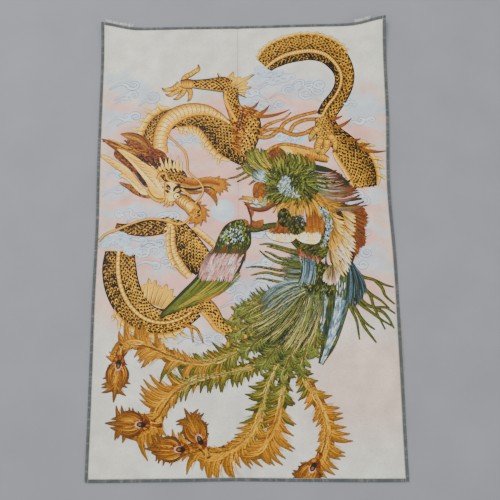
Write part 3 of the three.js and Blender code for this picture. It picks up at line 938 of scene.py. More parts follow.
    def tuft(self, roots: Way, tips: Way, count: int, width: float, dyes: Yarns, tip_dyes: Yarns | None = None,
             bend: float = 0.08, level: float = 0.0, stray: float = 2.5, rim: Dye | None = None,
             fat: float = 0.5) -> None:
        """Strokes that fan out from a root line to a tip line.

        Args:
            roots: points of the root line.
            tips: points of the tip line.
            count: number of strokes.
            width: width of each.
            dyes: colours at the root, taken at random.
            tip_dyes: colours at the tip, taken at random.
            bend: bow of each stroke.
            level: level over the figure's tier.
            stray: how far roots and tips wander.
            rim: outline colour.
            fat: where a stroke is widest.
        """
        base, ends = (Spine([(x, y, 0) for x, y in way(line)]) for line in (roots, tips))
        dyes, tip_dyes = yarns(dyes), yarns(tip_dyes)
        wander = lambda k: self.rng.uniform(-k, k)
        for i in range(count):
            t = (i + 0.5) / count
            root = base.at(base.length * t)[:2] + (wander(stray), wander(stray))
            tip = ends.at(ends.length * t)[:2] + (wander(stray * 1.4), wander(stray * 1.4))
            dye = self.jitter(self.rng.choice(dyes))
            end = self.jitter(self.rng.choice(tip_dyes)) if tip_dyes else None
            wide, bow = width * (1 + wander(0.2)), bend * (1 + wander(0.6))
            self.leaf(tuple(root), tuple(tip), wide, dye, end, bow, level + self.rng.random() * 0.8, fat, rim)

    def strand(self, line: Way, width: float, dyes: Yarns, level: float = 0.0, end: float = 0.25,
               fleck: Yarns = "fern pine gold slate") -> None:
        """A long wavy strand with a dark edge and flecks on it, tapering to its end.

        Args:
            line: points along it.
            width: its width at the root.
            dyes: colours across it.
            level: level over the figure's tier.
            end: width at the end, as a share of the width at the root.
            fleck: colours of the flecks, taken at random.
        """
        points, fleck = way(line), yarns(fleck)
        n = len(points)
        spine = Spine([(x, y, width / 2 * (1 + (end - 1) * (i / (n - 1)) ** 1.6)) for i, (x, y) in enumerate(points)])
        self.ribbon(spine, "soot", level, grow=0.7, step=4)
        self.ribbon(spine, dyes, level + 1, step=4)
        for i in range(int(spine.length / 3.2)):
            s, side = 1.6 + i * 3.2, 1 if i % 2 else -1
            dye = self.jitter(self.rng.choice(fleck))
            end = spine.off(min(spine.length, s + 4), 0.85 * side)
            self.leaf(spine.off(s, 0.05 * side), end, 1.1, dye, level=level + 2)

    def lobe(self, root: Point, tip: Point, width: float, dyes: Sequence[Dye], bend: float, level: float) -> None:
        """A curved lobe of barbs: a dark fill and bright strands on it with dark lines left between them.

        Args:
            root: where it starts.
            tip: where it ends.
            width: its greatest width.
            dyes: colour of the fill, of the tips, and then those of the strands.
            bend: sideways bow, as a share of its length.
            level: level over the figure's tier.
        """
        fill, end = blend(dyes[0], Dye.UMBER, 0.7), dyes[1]
        self.leaf(root, tip, width, self.jitter(fill), blend(end, Dye.UMBER, 0.5), bend, level, 0.45, Dye.SOOT)
        dx, dy = tip[0] - root[0], tip[1] - root[1]
        long = max(1e-6, math.hypot(dx, dy))
        nx, ny = -dy / long, dx / long
        for k in (-1, 0, 1):
            shift, short = k * width * 0.29, 0.97 - 0.13 * abs(k)
            a = (root[0] + dx * 0.06 + nx * shift * 0.8, root[1] + dy * 0.06 + ny * shift * 0.8)
            b = (root[0] + dx * short + nx * shift * 0.4, root[1] + dy * short + ny * shift * 0.4)
            dye = self.jitter(self.rng.choice(dyes[2:]), 0.28)
            self.leaf(a, b, width * 0.19, dye, self.jitter(end, 0.25), bend, level + 1.7)

    def plume(self, stops: Way, near: Sequence[Dye], far: Sequence[Dye], pitch: float = 7.5, lean: float = 1.5,
              level: float = 0.0, wide: float = 1.85, turnover: float = 0.45) -> None:
        """A feather: curved lobes of barbs on both sides of a shaft.

        Args:
            stops: x, y and barb length along the shaft.
            near: colours of the barbs near the root: fill, tip and strands.
            far: colours of the barbs near the end.
            pitch: distance between lobes.
            lean: how far a lobe leans along the shaft.
            level: level over the figure's tier.
            wide: width of a lobe, as a share of the pitch.
            turnover: share of the length where the colours change.
        """
        spine = Spine(stops)
        self.ribbon(spine, "umber olive umber", level, 0.3, -0.3)
        count = int(spine.length / pitch)
        for i in range(count + 1):
            s = i * pitch
            x, y, barb = spine.at(s)
            tx, ty = spine.heading(s)
            far_on = self.rng.random() < smooth(np.array((s / spine.length - turnover + 0.25) / 0.5))
            for side in (1, -1):
                out = 1.08 * barb * self.rng.choice((1.24, 1.1, 1.0, 0.84)) * self.rng.uniform(0.94, 1.08)
                nx, ny = -ty * side, tx * side
                ahead = lean * self.rng.uniform(0.85, 1.25)
                tip = (x + nx * out * 0.84 + tx * out * ahead, y + ny * out * 0.84 + ty * out * ahead)
                self.lobe((x, y), tip, pitch * wide, far if far_on else near, -0.28 * side, level + 1 + (i % 3) * 0.5)
        shares = [k / 24 for k in range(25)]
        line = [tuple(spine.at(spine.length * k / 24)[:2]) for k in range(25)]
        self.stroke(line, [1.7] * 25, hues([Dye.UMBER] * 25), level + 4.6)
        thin, dyes = [1 - k / 40 for k in range(25)], [blend(Dye.CREAM, Dye.AMBER, t) for t in shares]
        self.stroke(line, thin, dyes, level + 5.2)

    def eye(self, x: float, y: float, turn: float, long: float = 92.0, wide: float = 62.0, level: float = 6.0) -> None:
        """The eye of a tail feather: flame lobes round a rust field, a pale crescent and a dark drop.

        Args:
            x: place of the drop.
            y: place of the drop.
            turn: angle that the tip points at.
            long: length of the eye.
            wide: its breadth.
            level: level over the figure's tier.
        """
        c, s = math.cos(turn), math.sin(turn)
        at = lambda u, v: (x + c * u - s * v, y + s * u + c * v)
        vary = self.rng.uniform
        for i in range(8):
            u = (-0.42 + 0.08 * i) * long
            for side in (1, -1):
                out = wide * (0.36 + 0.15 * math.sin(math.pi * i / 9)) * vary(0.85, 1.1)
                tip = at(u + long * vary(0.38, 0.5), side * out)
                self.lobe(at(u, side * 2), tip, 11, self.DEEP, -0.27 * side, level + 0.25 * i)
        for k in (-2, 2, -1, 1, 0):
            tip = at(long * (0.76 - 0.14 * abs(k)) * vary(0.94, 1.06), k * wide * 0.12)
            self.lobe(at(0, 4 * k), tip, 12, self.DEEP, 0.08 * k, level + 2.4 + 0.2 * abs(k))
        turns = [k * math.tau / 12 for k in range(12)]
        ring = lambda du, ru, rv: [at(du + ru * math.cos(a), rv * math.sin(a)) for a in turns]
        glow = lambda px, py: blend(Dye.BRICK, Dye.RUST, math.dist((px, py), (x, y)) / 20)
        self.patch(ring(2, 19, 13), Dye.RUST, level + 3.6, mesh=6, shade=glow)
        for i in range(30):
            a = math.tau * i / 30
            dye = self.jitter(self.rng.choice(yarns("amber brick rust gold")))
            tip = at(2 + 18.5 * math.cos(a + 0.15), 12.6 * math.sin(a + 0.15))
            self.leaf(at(2 + 10 * math.cos(a), 7 * math.sin(a)), tip, 2.0, dye, level=level + 4.5)
        self.patch(ring(4.5, 9, 6.6), Dye.PINK, level + 5.4, mesh=5)
        self.patch(ring(0.5, 9.5, 5.2), blend(Dye.PINE, Dye.SOOT, 0.7), level + 6.4, mesh=5)
        self.bead(*at(4.5, 0), turn, 8, 5, Dye.AMBER, Dye.OLIVE, level + 7.4)

    def scroll(self, x: float, y: float, radius: float, turns: float, start: float, hand: int, tail: float,
               wide: float) -> None:
        """A cloud scroll: a pale spiral band edged with thin lines, that runs out into a wave.

        Args:
            x: middle of the spiral.
            y: middle of the spiral.
            radius: its radius.
            turns: number of turns.
            start: angle where its outer turn ends.
            hand: 1 for anticlockwise, -1 for clockwise.
            tail: length of the wave.
            wide: width of the band.
        """
        stops = []
        steps = max(6, int(10 * turns))
        for i in range(steps + 1):
            t = i / steps
            a, r = start + hand * math.tau * turns * (1 - t), radius * (0.2 + 0.8 * t)
            stops.append((x + r * math.cos(a), y + r * 0.75 * math.sin(a), wide / 2 * (0.35 + 0.65 * t)))
        ex, ey, _ = stops[-1]
        out = -1 if ex < x else 1
        for i in range(1, 7):
            t = i / 6
            stops.append((ex + out * tail * t, ey + 4 * math.sin(t * 4.5) - 5 * t * t, wide / 2 * (1 - 0.85 * t)))
        spine = Spine(stops)
        line = blend(Dye.LAVENDER, Dye.ROSE, self.rng.random() * 0.35)
        fill = [Dye.ICE, blend(Dye.MIST, Dye.WHITE, self.rng.random() * 0.6), Dye.MIST]
        self.ribbon(spine, [line], -RIM_LEVEL, grow=1.0, step=3.4)
        self.ribbon(spine, fill, 0, step=3.4)


# ---- laying and dressing pieces


@dataclass
class Loom:
    """Turns gathered strokes into pieces: cuts them at the fold line, lays them on the cloth and dresses them."""

    wardrobe: Wardrobe
    lie: Lie = LIE
    fold_half: float = 4.0
    edging: float = 6.8
    cuts: tuple[float, ...] = (-9.0, -4.0, -2.0, 0.0, 2.0, 4.0, 9.0)

    def mesh(self, name: str, points: np.ndarray, faces: Sequence[Sequence[int]], dyes: np.ndarray,
             cut: np.ndarray) -> bpy.types.Object:
        """Make an object from laid points.

        Args:
            name: the piece's name.
            points: x, y, z rows in metres.
            faces: vertex numbers.
            dyes: colour of each vertex.
            cut: place of each vertex in the flat cut, in metres, for its weave.

        Returns:
            The new object, in the scene.
        """
        mesh = bpy.data.meshes.new(name)
        mesh.from_pydata(points.tolist(), [], faces)
        dye = mesh.color_attributes.new("dye", "FLOAT_COLOR", "POINT")
        dye.data.foreach_set("color", np.column_stack([dyes, np.ones(len(dyes))]).astype(np.float32).ravel())
        flat = mesh.attributes.new("cut", "FLOAT_VECTOR", "POINT")
        flat.data.foreach_set("vector", cut.astype(np.float32).ravel())
        mesh.update()
        made = bpy.data.objects.new(name, mesh)
        bpy.context.scene.collection.objects.link(made)
        return made

    def weave(self, name: str, slot: str, weft: Weft, nodes: Sequence[str]) -> None:
        """Lay a figure on the cloth.

        Args:
            name: the piece's name.
            slot: material slot that it takes its finish from.
            weft: its strokes.
            nodes: CAD nodes that it stands for.
        """
        flat = np.array(weft.points)
        dyes = np.array(weft.dyes)
        rim = self.lie.half_length - self.edging
        inside = np.abs(flat[:, 1]) < rim
        faces = [f for f in weft.faces if inside[list(f)].any()]
        flat[:, 1] = np.clip(flat[:, 1], -rim, rim)
        off = flat[:, 0] - self.lie.fold_x
        crosses = off.min() < -1.0 and off.max() > 1.0
        if crosses:
            flat, dyes, faces = self.cut_at_fold(flat, dyes, faces)
        laid = self.lie.place(flat[:, 0], flat[:, 1], flat[:, 2] + self.lie.cloth_top)
        made = self.mesh(name, laid, faces, dyes, flat * MM)
        made.data.shade_smooth()
        made.data.set_sharp_from_angle(angle=math.radians(40))
        self.dress(made, slot, nodes)
        self.attach(made, crosses, off.mean())

    def cut_at_fold(self, flat: np.ndarray, dyes: np.ndarray,
                    faces: Sequence[Sequence[int]]) -> tuple[np.ndarray, np.ndarray, list]:
        """Cut strokes across at the fold line, so that they can bend there.

        Args:
            flat: x, y and height of each vertex.
            dyes: colour of each vertex.
            faces: vertex numbers of each face.

        Returns:
            The vertices, colours and faces after the cuts.
        """
        bm = bmesh.new()
        layer = bm.verts.layers.float_vector.new("tint")
        verts = [bm.verts.new(p) for p in flat]
        for v, d in zip(verts, dyes):
            v[layer] = Vector(d)
        for f in faces:
            if len(set(f)) > 2:
                bm.faces.new([verts[i] for i in f])
        for shift in self.cuts:
            geometry, at = [*bm.verts, *bm.edges, *bm.faces], (self.lie.fold_x + shift, 0, 0)
            bmesh.ops.bisect_plane(bm, geom=geometry, dist=1e-4, plane_co=at, plane_no=(1, 0, 0))
        bm.verts.index_update()
        points = np.array([v.co[:] for v in bm.verts])
        tints = np.array([v[layer][:] for v in bm.verts])
        loops = [[v.index for v in f.verts] for f in bm.faces]
        bm.free()
        return points, tints, loops

    def attach(self, made: bpy.types.Object, crosses: bool, side: float) -> None:
        """Fix a piece to one half of the panel, or let it bend at the fold.

        Args:
            made: the piece.
            crosses: whether it crosses the fold line.
            side: below 0 on the left half, if it doesn't cross.
        """
        if crosses:
            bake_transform(made)
        else:
            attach(made, "left_half" if side < 0 else "right_half")

    def dress(self, made: bpy.types.Object, slot: str, nodes: Sequence[str]) -> None:
        """Give a piece its finish and hide the CAD nodes that it stands for.

        Args:
            made: the piece.
            slot: its material slot.
            nodes: CAD nodes that it stands for.
        """
        made.data.materials.append(self.wardrobe.get(slot))
        if nodes:
            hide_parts(*nodes)
        log.info("%s: %d faces, slot %s", made.name, len(made.data.polygons), slot)


# ---- the dragon


class Stands(Enum):
    """Which CAD nodes a woven piece stands for."""

    NOTHING = ()
    ONE = ("{}_weft",)
    HALVES = ("{}_weft_left", "{}_weft_right")


@dataclass
class Figure:
    """A figure of the picture, woven piece by piece from its table of name, slot, tier and what it stands for."""

    KIND: ClassVar[str] = ""
    PIECES: ClassVar[tuple[tuple, ...]] = ()

    loom: Loom
    woven: list[Weft] = field(default_factory=list)

    def build(self) -> None:
        """Weave every piece of the figure's own table."""
        for name, slot, tier, *stands in self.PIECES:
            self.weave(f"{self.KIND}_{name}", slot, tier, getattr(self, name), *stands)

    def weave(self, name: str, slot: str, tier: float, draw: Callable[[Brush], None],
              stands: Stands = Stands.ONE) -> None:
        """Draw one piece with its own brush and weave it.

        Args:
            name: the piece's name.
            slot: finish slot.
            tier: how far up the picture's layers it starts.
            draw: method that draws it.
            stands: which CAD nodes it stands for.
        """
        brush = Brush(sum(map(ord, name)), tier)
        draw(brush)
        self.woven.append(brush)
        self.loom.weave(name, slot, brush, [n.format(name) for n in stands.value])


@dataclass
class Dragon(Figure):
    """The dragon, in gold and rust weft."""

    KIND = "dragon"
    PIECES = (
        ("lower_coil", "gold_weft", 1),
        ("back_fin", "palegold_weft", 0),
        ("middle_loop", "gold_weft", 1),
        ("upper_arch", "gold_weft", 0),
        ("right_flank", "gold_weft", 2),
        ("neck", "gold_weft", 0),
        ("shoulder", "gold_weft", 4, Stands.HALVES),
        ("foreleg", "gold_weft", 5, Stands.HALVES),
        ("fore_claw", "palegold_weft", 7),
        ("far_claw", "rust_weft", 5),
        ("hind_leg", "gold_weft", 4),
        ("hind_foot", "gold_weft", 6, Stands.HALVES),
        ("mane", "rust_weft", 4),
        ("horn", "palegold_weft", 7),
        ("head", "gold_weft", 8),
        ("whiskers", "palegold_weft", 16, Stands.NOTHING),
    )

    def upper_arch(self, b: Brush) -> None:
        """The arch of the back at the top right, with its belly line on the inner side."""
        stops = ("44 362 18, 62 380 25, 86 394 29, 115 402 31, 146 404 31, 178 392 28, 200 368 24, 211 340 20, "
                 "208 312 18, 196 288 18, 181 268 19, 168 246 18")
        spine = Spine(stops)
        b.fringe(spine, 1, 0.0, 0.56, long=5, pitch=11, lean=1.4, strip=8)
        b.hide(stops, belly=(-0.5, -0.2), facing=-1, dark=(1.0, 0.45), ribs=5.5)
        b.patch("22 352, 34 362, 52 354, 66 346, 84 352, 78 338, 44 336", Dye.MIST, 8)

    def right_flank(self, b: Brush) -> None:
        """The body that drops from the far claw to its cut end."""
        stops = "172 236 15, 184 212 17, 200 192 22, 218 168 27, 234 146 29, 244 122 28, 247 96 25"
        spine = Spine(stops)
        b.fringe(spine, 1, 0.44, 1.0, long=15, pitch=13, lean=0.8, strip=9)
        b.fringe(spine, -1, 0.34, 0.98, long=1, pitch=9, lean=0.6, strip=9)
        b.hide(stops, dark=(0.4, 1.0))
        for root, tip in (((186, 222), (222, 242)), ((206, 198), (240, 198)), ((232, 186), (260, 187)),
                          ((236, 178), (293, 171)),
                          ((176, 242), (204, 248))):
            b.leaf(root, tip, 6.5, Dye.AMBER, Dye.RUST, bend=-0.08, level=6, fat=0.25, rim=Dye.UMBER)

    def lower_coil(self, b: Brush) -> None:
        """The coil at the lower left."""
        stops = ("-248 -28 29, -248 -62 33, -241 -98 33, -224 -132 31, -196 -158 27, -160 -168 22, -124 -160 20, "
                 "-96 -142 18")
        spine = Spine(stops)
        b.fringe(spine, -1, 0.4, 0.86, long=12, pitch=13, lean=0.9, strip=10)
        b.hide(stops, belly=(-0.2, 0.06), dark=(0.95, 0.62), fade=0.6, ribs=9)
        b.patch("-224 -20, -238 -18, -240 -30, -226 -38, -214 -32, -206 -46, -204 -22", Dye.MIST, 8)
        b.patch("-282 -4, -284 -20, -268 -18, -254 -12, -246 -20, -228 -14, -226 2, -256 2", Dye.ICE, 8)

    def back_fin(self, b: Brush) -> None:
        """The webbed fin inside the lower coil."""
        tips = "-214 -94, -196 -94, -188 -82, -174 -86, -166 -96, -152 -94, -140 -104, -134 -120"
        b.fan("-206 -124, -156 -144", tips, deep=0.22)

    def middle_loop(self, b: Brush) -> None:
        """The loop that comes out of the cloud at the left and turns down behind the wing."""
        b.hide("-258 24 4, -236 17 9, -204 16 14, -172 20 15, -148 26 14", facing=-1, dark=(0.7, 0.95))
        b.hide("-150 32 10, -132 12 20, -116 -14 26, -98 -40 28, -78 -60 24", dark=(1.0, 0.35))
        b.fringe(Spine("-148 34 0, -144 10 3, -141 -12 6, -134 -38 8, -120 -62 8"), -1, 0.1, 0.95, long=10, pitch=12,
                 lean=0.2, level=4, strip=9)
        b.plates(Spine("-158 34 4, -149 30 8, -145 10 8, -144 -14 8, -138 -38 9, -124 -62 9, -108 -80 7"), pitch=8)
        b.fringe(Spine("-108 12 4, -92 -4 6, -74 -22 8, -58 -34 6"), 1, 0.0, 0.9, long=2, pitch=10, lean=0.3, level=3,
                 strip=11)

    def neck(self, b: Brush) -> None:
        """The neck arch: outer spines, an outer scaled strip, the belly plates and the inner scaled body."""
        outer = "-194 182 11, -197 206 11, -192 226 9, -182 244 8, -166 259 5, -148 266 3"
        spine = Spine(outer)
        b.fringe(spine, 1, 0.12, 0.96, long=17, pitch=17, lean=-0.2, strip=13)
        b.hide(outer, dark=(0.55, 1.0), size=7)
        inner = ("-152 228 4, -134 239 10, -104 246 16, -76 240 23, -52 222 30, -30 198 33, -10 178 28, 4 162 20, "
                 "14 150 12")
        lower = Spine(inner)
        b.fringe(lower, -1, 0.04, 0.84, long=12, pitch=12, lean=0.35, strip=12)
        b.hide(inner, dark=(1.0, 0.42))
        belly = ("-170 172 15, -172 196 14.5, -168 220 15, -156 242 16.5, -134 258 16, -106 266 14, -76 264 11, "
                 "-50 252 7, -28 236 3")
        b.plates(Spine(belly), pitch=9, level=5)

    def shoulder(self, b: Brush) -> None:
        """The mass of the shoulder over the fold line, with the spines behind it."""
        for root, tip, bend in (((-2, 260), (33, 283), -0.12), ((26, 252), (54, 274), -0.1),
                                ((6, 254), (96, 264), -0.1)):
            b.leaf(root, tip, 7, Dye.AMBER, Dye.RUST, bend, 0, 0.3, Dye.UMBER)
        b.hide("-4 262 12, 8 248 22, 11 222 24, 6 196 21, 0 172 16", size=9, dark=(0.3, 0.6))
        b.speckle("-18 276, 8 274, 30 262, 34 248, 12 246, 4 226, 0 200, -6 172, -20 176, -22 220", 300,
                  "rust amber brick gold", 8, 2.6, -0.5, 4)

    def foreleg(self, b: Brush) -> None:
        """The raised foreleg, with the fin at its elbow."""
        b.fan("-44 326, -10 300", "-54 347, -38 338, -20 349, -6 338, 24 343, 10 325, 18 314, 6 302, 6 292", deep=0.3)
        b.limb("-2 226 15, -12 250 16, -22 276 14, -26 298 15, -22 314 14", level=1, dark=(0.6, 0.8))
        b.limb("-26 316 13, -44 321 16, -70 321 12, -98 322 9, -118 325 7", level=3, dark=(0.7, 0.8))
        b.ribbon("-36 306 3, -36 286 4, -26 262 4, -14 240 3", "amber straw gold", 9)

    def fore_claw(self, b: Brush) -> None:
        """The open claw at the upper left."""
        b.claw("-124 326 7, -121 338 5.2, -108 345 4.4, -98 353 4", hook=1.4)
        for k, line in enumerate((
            "-116 318 6, -110 304 4.4, -111 294 3.6", "-122 318 6, -125 304 4.4, -135 294 3.6",
            "-128 320 6, -137 308 4.4, -150 301 3.6", "-132 324 6, -145 314 4.4, -158 311 3.6",
        )):
            b.claw(line, k, -0.6 - 0.2 * k)
        b.limb("-106 322 9, -120 323 10, -132 324 6", False, 4)

    def far_claw(self, b: Brush) -> None:
        """Rust tendrils and the claw at the end of the far leg."""
        dyes, fleck = "rust gold amber", "amber rust straw"
        for width, end, line in (
            (7, 0.15, "34 218, 48 230, 66 238, 84 244, 99 258"),
            (8, 0.9, "26 208, 42 204, 58 208, 74 220, 88 214, 104 209, 126 212, 146 222, 168 222"),
            (6, 0.8, "34 212, 52 220, 70 222, 84 220"),
            (7, 0.8, "76 222, 84 234, 102 244, 126 252, 152 258"),
            (7, 0.8, "96 216, 104 230, 124 240, 146 242, 160 240"),
        ):
            b.strand(line, width, dyes, end=end, fleck=fleck)
        b.round(66, 162, 22, 150, "rust olive amber brick", 0)
        for k in range(8):
            x = 84 + 8 * k
            b.leaf((66 + 9 * k, 186 - 1.4 * k), (x + 6, 156 - 0.6 * k), 9, Dye.STRAW,
                   Dye.CREAM if k < 2 else Dye.GOLD, 0.28, 0.5, 0.4, Dye.UMBER)
        b.strand("46 172, 64 184, 86 189, 112 184, 140 176, 160 170", 6, dyes, 3, 0.8, fleck)
        b.limb("128 170 9, 146 164 9, 162 158 8, 172 154 5", False, 3)
        b.tuft("128 168, 140 162", "128 144, 144 142", 18, 3.4, "amber gold", "rust", 0.05, 5)
        b.limb("160 248 12, 165 226 17, 168 202 18, 166 182 12", level=2, dark=(0.3, 0.5))
        b.claw("152 222 7, 142 212 5, 138 204 4", 6, 0.4)
        b.claw("158 198 7, 150 184 6, 152 176 5", 6, 1.0)
        b.claw("170 196 7, 168 180 6, 160 172 5", 7, -1.0)
        b.claw("176 206 7, 186 192 6, 186 180 4", 6, -0.6)
        b.tuft("146 214, 150 200", "134 210, 140 198", 12, 2.6, "fern ice gold", "olive", 0, 4)

    def hind_leg(self, b: Brush) -> None:
        """The hind leg behind the tail, with its tendrils."""
        for line in ("-122 -174, -106 -178, -102 -192, -100 -208", "-112 -174, -94 -182, -86 -196, -80 -210"):
            b.strand(line, 5.5, "rust gold amber", fleck="straw amber")
        b.limb("-106 -140 15, -84 -134 15, -66 -148 14, -52 -168 11, -38 -184 9, -24 -192 7", dark=(0.4, 0.7))
        b.ribbon("-84 -150 3, -70 -164 4, -56 -182 4, -38 -194 2", "gold straw amber", 5)

    def hind_foot(self, b: Brush) -> None:
        """The hind foot, its toes spread over the fold line."""
        b.claw("-26 -190 6, -28 -172 5, -20 -160 5, -14 -162 4", hook=-1.6)
        b.claw("-20 -190 6, -12 -176 5, 0 -176 5, 12 -166 4", hook=0.4)
        b.claw("-20 -194 6, -4 -198 5, 12 -192 4.5", 1, 0.3)
        b.claw("-22 -192 6, -28 -204 5, -32 -212 4", 1, 0.3)

    def mane(self, b: Brush) -> None:
        """Locks that stream back from the head."""
        rust, amber, soot = yarns("rust amber soot")
        b.leaf((-186, 168), (-292, 206), 25, rust, rust, 0.05, 0, 0.35, soot)
        b.leaf((-190, 174), (-254, 216), 25, rust, amber, -0.12, 1, 0.4, soot)
        b.tuft("-196 164, -200 178", "-288 205, -268 206", 9, 1.8, "gold soot amber", "straw umber", 0.05, 3)
        b.tuft("-198 176, -192 184", "-250 213, -240 216", 8, 1.8, "gold soot amber", "straw umber", -0.12, 4)
        mass = "-240 182, -222 196, -204 192, -188 184, -170 180, -158 166, -160 146, -184 146, -204 156, -222 168"
        low = ("-260 184, -265 170, -252 157, -236 145, -222 131, -211 116, -200 104, -190 104, -196 120, -208 136, "
               "-222 150, -240 164")
        tones = "rust amber brick rust umber"
        for outline in (mass, low):
            b.patch(outline, rust, 2, rim=soot)
            b.speckle(outline, 330, tones, 6.5, 2.2, -0.6, 3.5)
        b.speckle("-290 204, -262 196, -236 186, -238 178, -262 188, -286 198", 60, tones, 7, 1.8, -0.25, 3)
        b.speckle("-252 210, -246 203, -224 200, -216 190, -238 192", 60, tones, 6, 1.8, -0.5, 4)
        b.speckle("-236 170, -206 170, -180 158, -166 150, -178 140, -204 152", 190, "soot umber rust", 6, 2.4, -0.7,
                  6)
        b.speckle("-218 132, -206 130, -194 108, -204 106", 60, "soot umber", 6, 2.2, -0.9, 6)
        b.speckle("-262 182, -254 178, -222 152, -232 148", 40, "soot umber", 6, 2.0, -0.7, 6)

    def horn(self, b: Brush) -> None:
        """The two long pale horns, the cheek they grow from and the lock under them."""
        umber, soot = yarns("umber soot")
        pale = lambda x, y: blend(Dye.CREAM, Dye.STRAW, 0.5 + 0.5 * math.sin(x / 9 + y / 6))
        lower = "-253 112, -238 110, -222 103, -208 93, -190 87, -190 80, -206 82, -222 89, -238 101"
        b.patch(lower, Dye.AMBER, 0, rim=soot)
        b.speckle(lower, 80, "rust soot amber", 6, 2, -0.5, 1)
        b.patch("-294 171, -280 168, -258 156, -244 148, -232 138, -222 125, -212 112, -202 100, -192 94, -193 86, "
                "-206 87, -217 96, -228 108, -240 120, -254 126, -246 131, -254 138, -266 146, -282 159",
                Dye.STRAW, 2, shade=pale, rim=umber)
        b.patch("-260 184, -244 180, -226 170, -208 157, -192 146, -178 135, -168 122, -158 108, -154 92, -160 80, "
                "-173 79, -186 86, -192 98, -198 112, -208 126, -218 139, -230 153, -245 168",
                Dye.CREAM, 4, shade=pale, rim=umber)
        b.ribbon("-196 96 3, -186 82 4, -172 74 4, -156 76 3", "umber gold straw umber", 6)
        for k in range(9):
            b.leaf((-172 - 4 * k, 100 + 7 * k), (-186 - 7 * k, 118 + 7 * k), 1.5, Dye.AMBER, Dye.GOLD, 0.12, 6.5)
            b.leaf((-206 - 8 * k, 96 + 8 * k), (-216 - 9 * k, 108 + 7.4 * k), 1.4, Dye.AMBER, Dye.GOLD, 0.12, 4.5)
        b.speckle("-168 120, -156 104, -154 84, -162 84, -166 104, -176 118", 60, "amber gold rust", 3, 1.6, 1.2, 6)

    def head(self, b: Brush) -> None:
        """The head in profile: skull, brow, snout, jaws, eye and tongue."""
        soot, straw, gold, amber, umber, cream = yarns("soot straw gold amber umber cream")
        b.patch("-196 152, -180 160, -160 166, -142 156, -128 142, -126 132, -150 130, -172 134", soot, 0)
        tips = "-193 153, -182 160, -171 165, -159 162, -150 172, -141 158, -133 168, -126 156"
        for k, tip in enumerate(way(tips)):
            b.leaf((-172 + 6.4 * k, 133 + 1.6 * math.sin(k)), tip, 6.6, straw, cream, 0.06, 1, 0.35, soot)
        b.leaf((-84, 96), (-55, 61), 11, Dye.RUST, Dye.AMBER, 0.2, 0, 0.4, umber)
        for i in range(16):
            a = math.pi * (-0.7 + 1.5 * i / 15)
            reach = 1 + 0.2 * (i % 2)
            b.leaf((-60, 104), (-58 + 27 * reach * math.cos(a), 103 + 18 * reach * math.sin(a)), 8, gold, Dye.AMBER,
                   0.12, 0.5, 0.4, umber)
        jaw = "-134 116 6, -116 112 9, -98 108 9, -82 112 8, -66 112 9, -48 106 7"
        b.ribbon(jaw, "soot", 2, grow=1)
        b.ribbon(jaw, "gold amber rust gold", 3)
        mouth = "-132 102 2, -116 99 3, -98 98 3, -80 102 3, -66 100 2, -58 94 2"
        b.ribbon(mouth, "straw soot soot", 4)
        b.ribbon("-126 95 3, -110 91 4, -96 90 4, -84 92 2", "umber amber rust", 4)
        b.hide("-168 138 7, -152 128 15, -134 122 17, -122 112 11", size=7, dark=(0.75, 0.75))
        b.ribbon("-176 118 3, -170 130 4, -158 130 3, -156 120 3, -146 114 3, -134 110 2", "umber gold straw umber", 5)
        b.patch("-160 110, -148 112, -136 106, -130 94, -136 78, -146 70, -158 72, -160 90", cream, 5, rim=umber,
                shade=lambda x, y: blend(cream, gold, min(1, abs(x + 146) / 16)))
        b.tuft("-158 108, -158 92", "-150 100, -150 86", 9, 2.4, "soot umber", None, 0.1, 6.4)
        for i in range(18):
            a = -2.5 + 4.2 * i / 17
            reach = 22 + 5 * (i % 2)
            b.leaf((-97, 46), (-95 + reach * math.cos(a), 46 + reach * math.sin(a)), 8, gold, amber, 0.14, 2, 0.4,
                   umber)
        snout = "-134 80 10, -122 72 13, -110 63 13, -100 52 14, -94 42 9"
        b.ribbon(snout, "soot", 6, grow=1.2)
        b.ribbon(snout, "umber gold straw cream gold amber", 7)
        line = Spine(snout)
        for i in range(5):
            b.leaf(line.off(4 + i * 6, 0.95), line.off(6 + i * 6, -0.9), 1.7, umber, amber, -0.3, 8.4, 0.5)
        b.round(-98, 48, 12, 60, "gold amber straw amber", 8)
        b.bead(-91, 50, 1.0, 9, 4, soot, umber, 10.4)
        b.bead(-90, 42, 0.7, 7, 3.4, soot, umber, 10.4)
        b.ribbon("-142 92 1.5, -139 100 3, -130 102 2.5, -126 96 2, -132 90 2, -140 88 1.5", "soot", 7)
        b.round(-135.5, 83, 7.4, 0, "soot", 8, 1.0)
        b.round(-135.5, 83, 6.0, 0, "cream", 9, 1.0)
        b.bead(-133.5, 82, 0, 4.4, 4.4, soot, soot, 11)
        b.round(-146, 67, 5.4, 0, "soot", 8, 1.0)
        b.round(-146, 67, 4.2, 0, "straw", 9, 1.0)
        b.bead(-144.5, 66, 0, 3.2, 3.2, soot, soot, 11)
        for root, tip in (((-156, 78), (-163, 62)), ((-152, 74), (-156, 60)), ((-160, 82), (-170, 68)),
                          ((-128, 98), (-112, 80)), ((-122, 92), (-106, 76))):
            b.leaf(root, tip, 4.6, straw, gold, 0.12, 7, 0.3, umber)

    def whiskers(self, b: Brush) -> None:
        """The two long whiskers."""
        for width, line in (
            (3.6, "-160 216, -136 192, -121 176, -115 156, -114 136, -104 124, -90 112, -82 96, -88 80, -99 66"),
            (4.0, "-108 40, -116 30, -132 25, -160 33, -192 36, -222 28, -252 16, -278 6, -292 -8"),
        ):
            spine = Spine([(x, y, width / 2) for x, y in way(line)])
            b.ribbon(spine, "umber", 0, grow=0.6, step=4)
            b.ribbon(spine, "amber straw gold", 1, step=4)


# ---- the phoenix


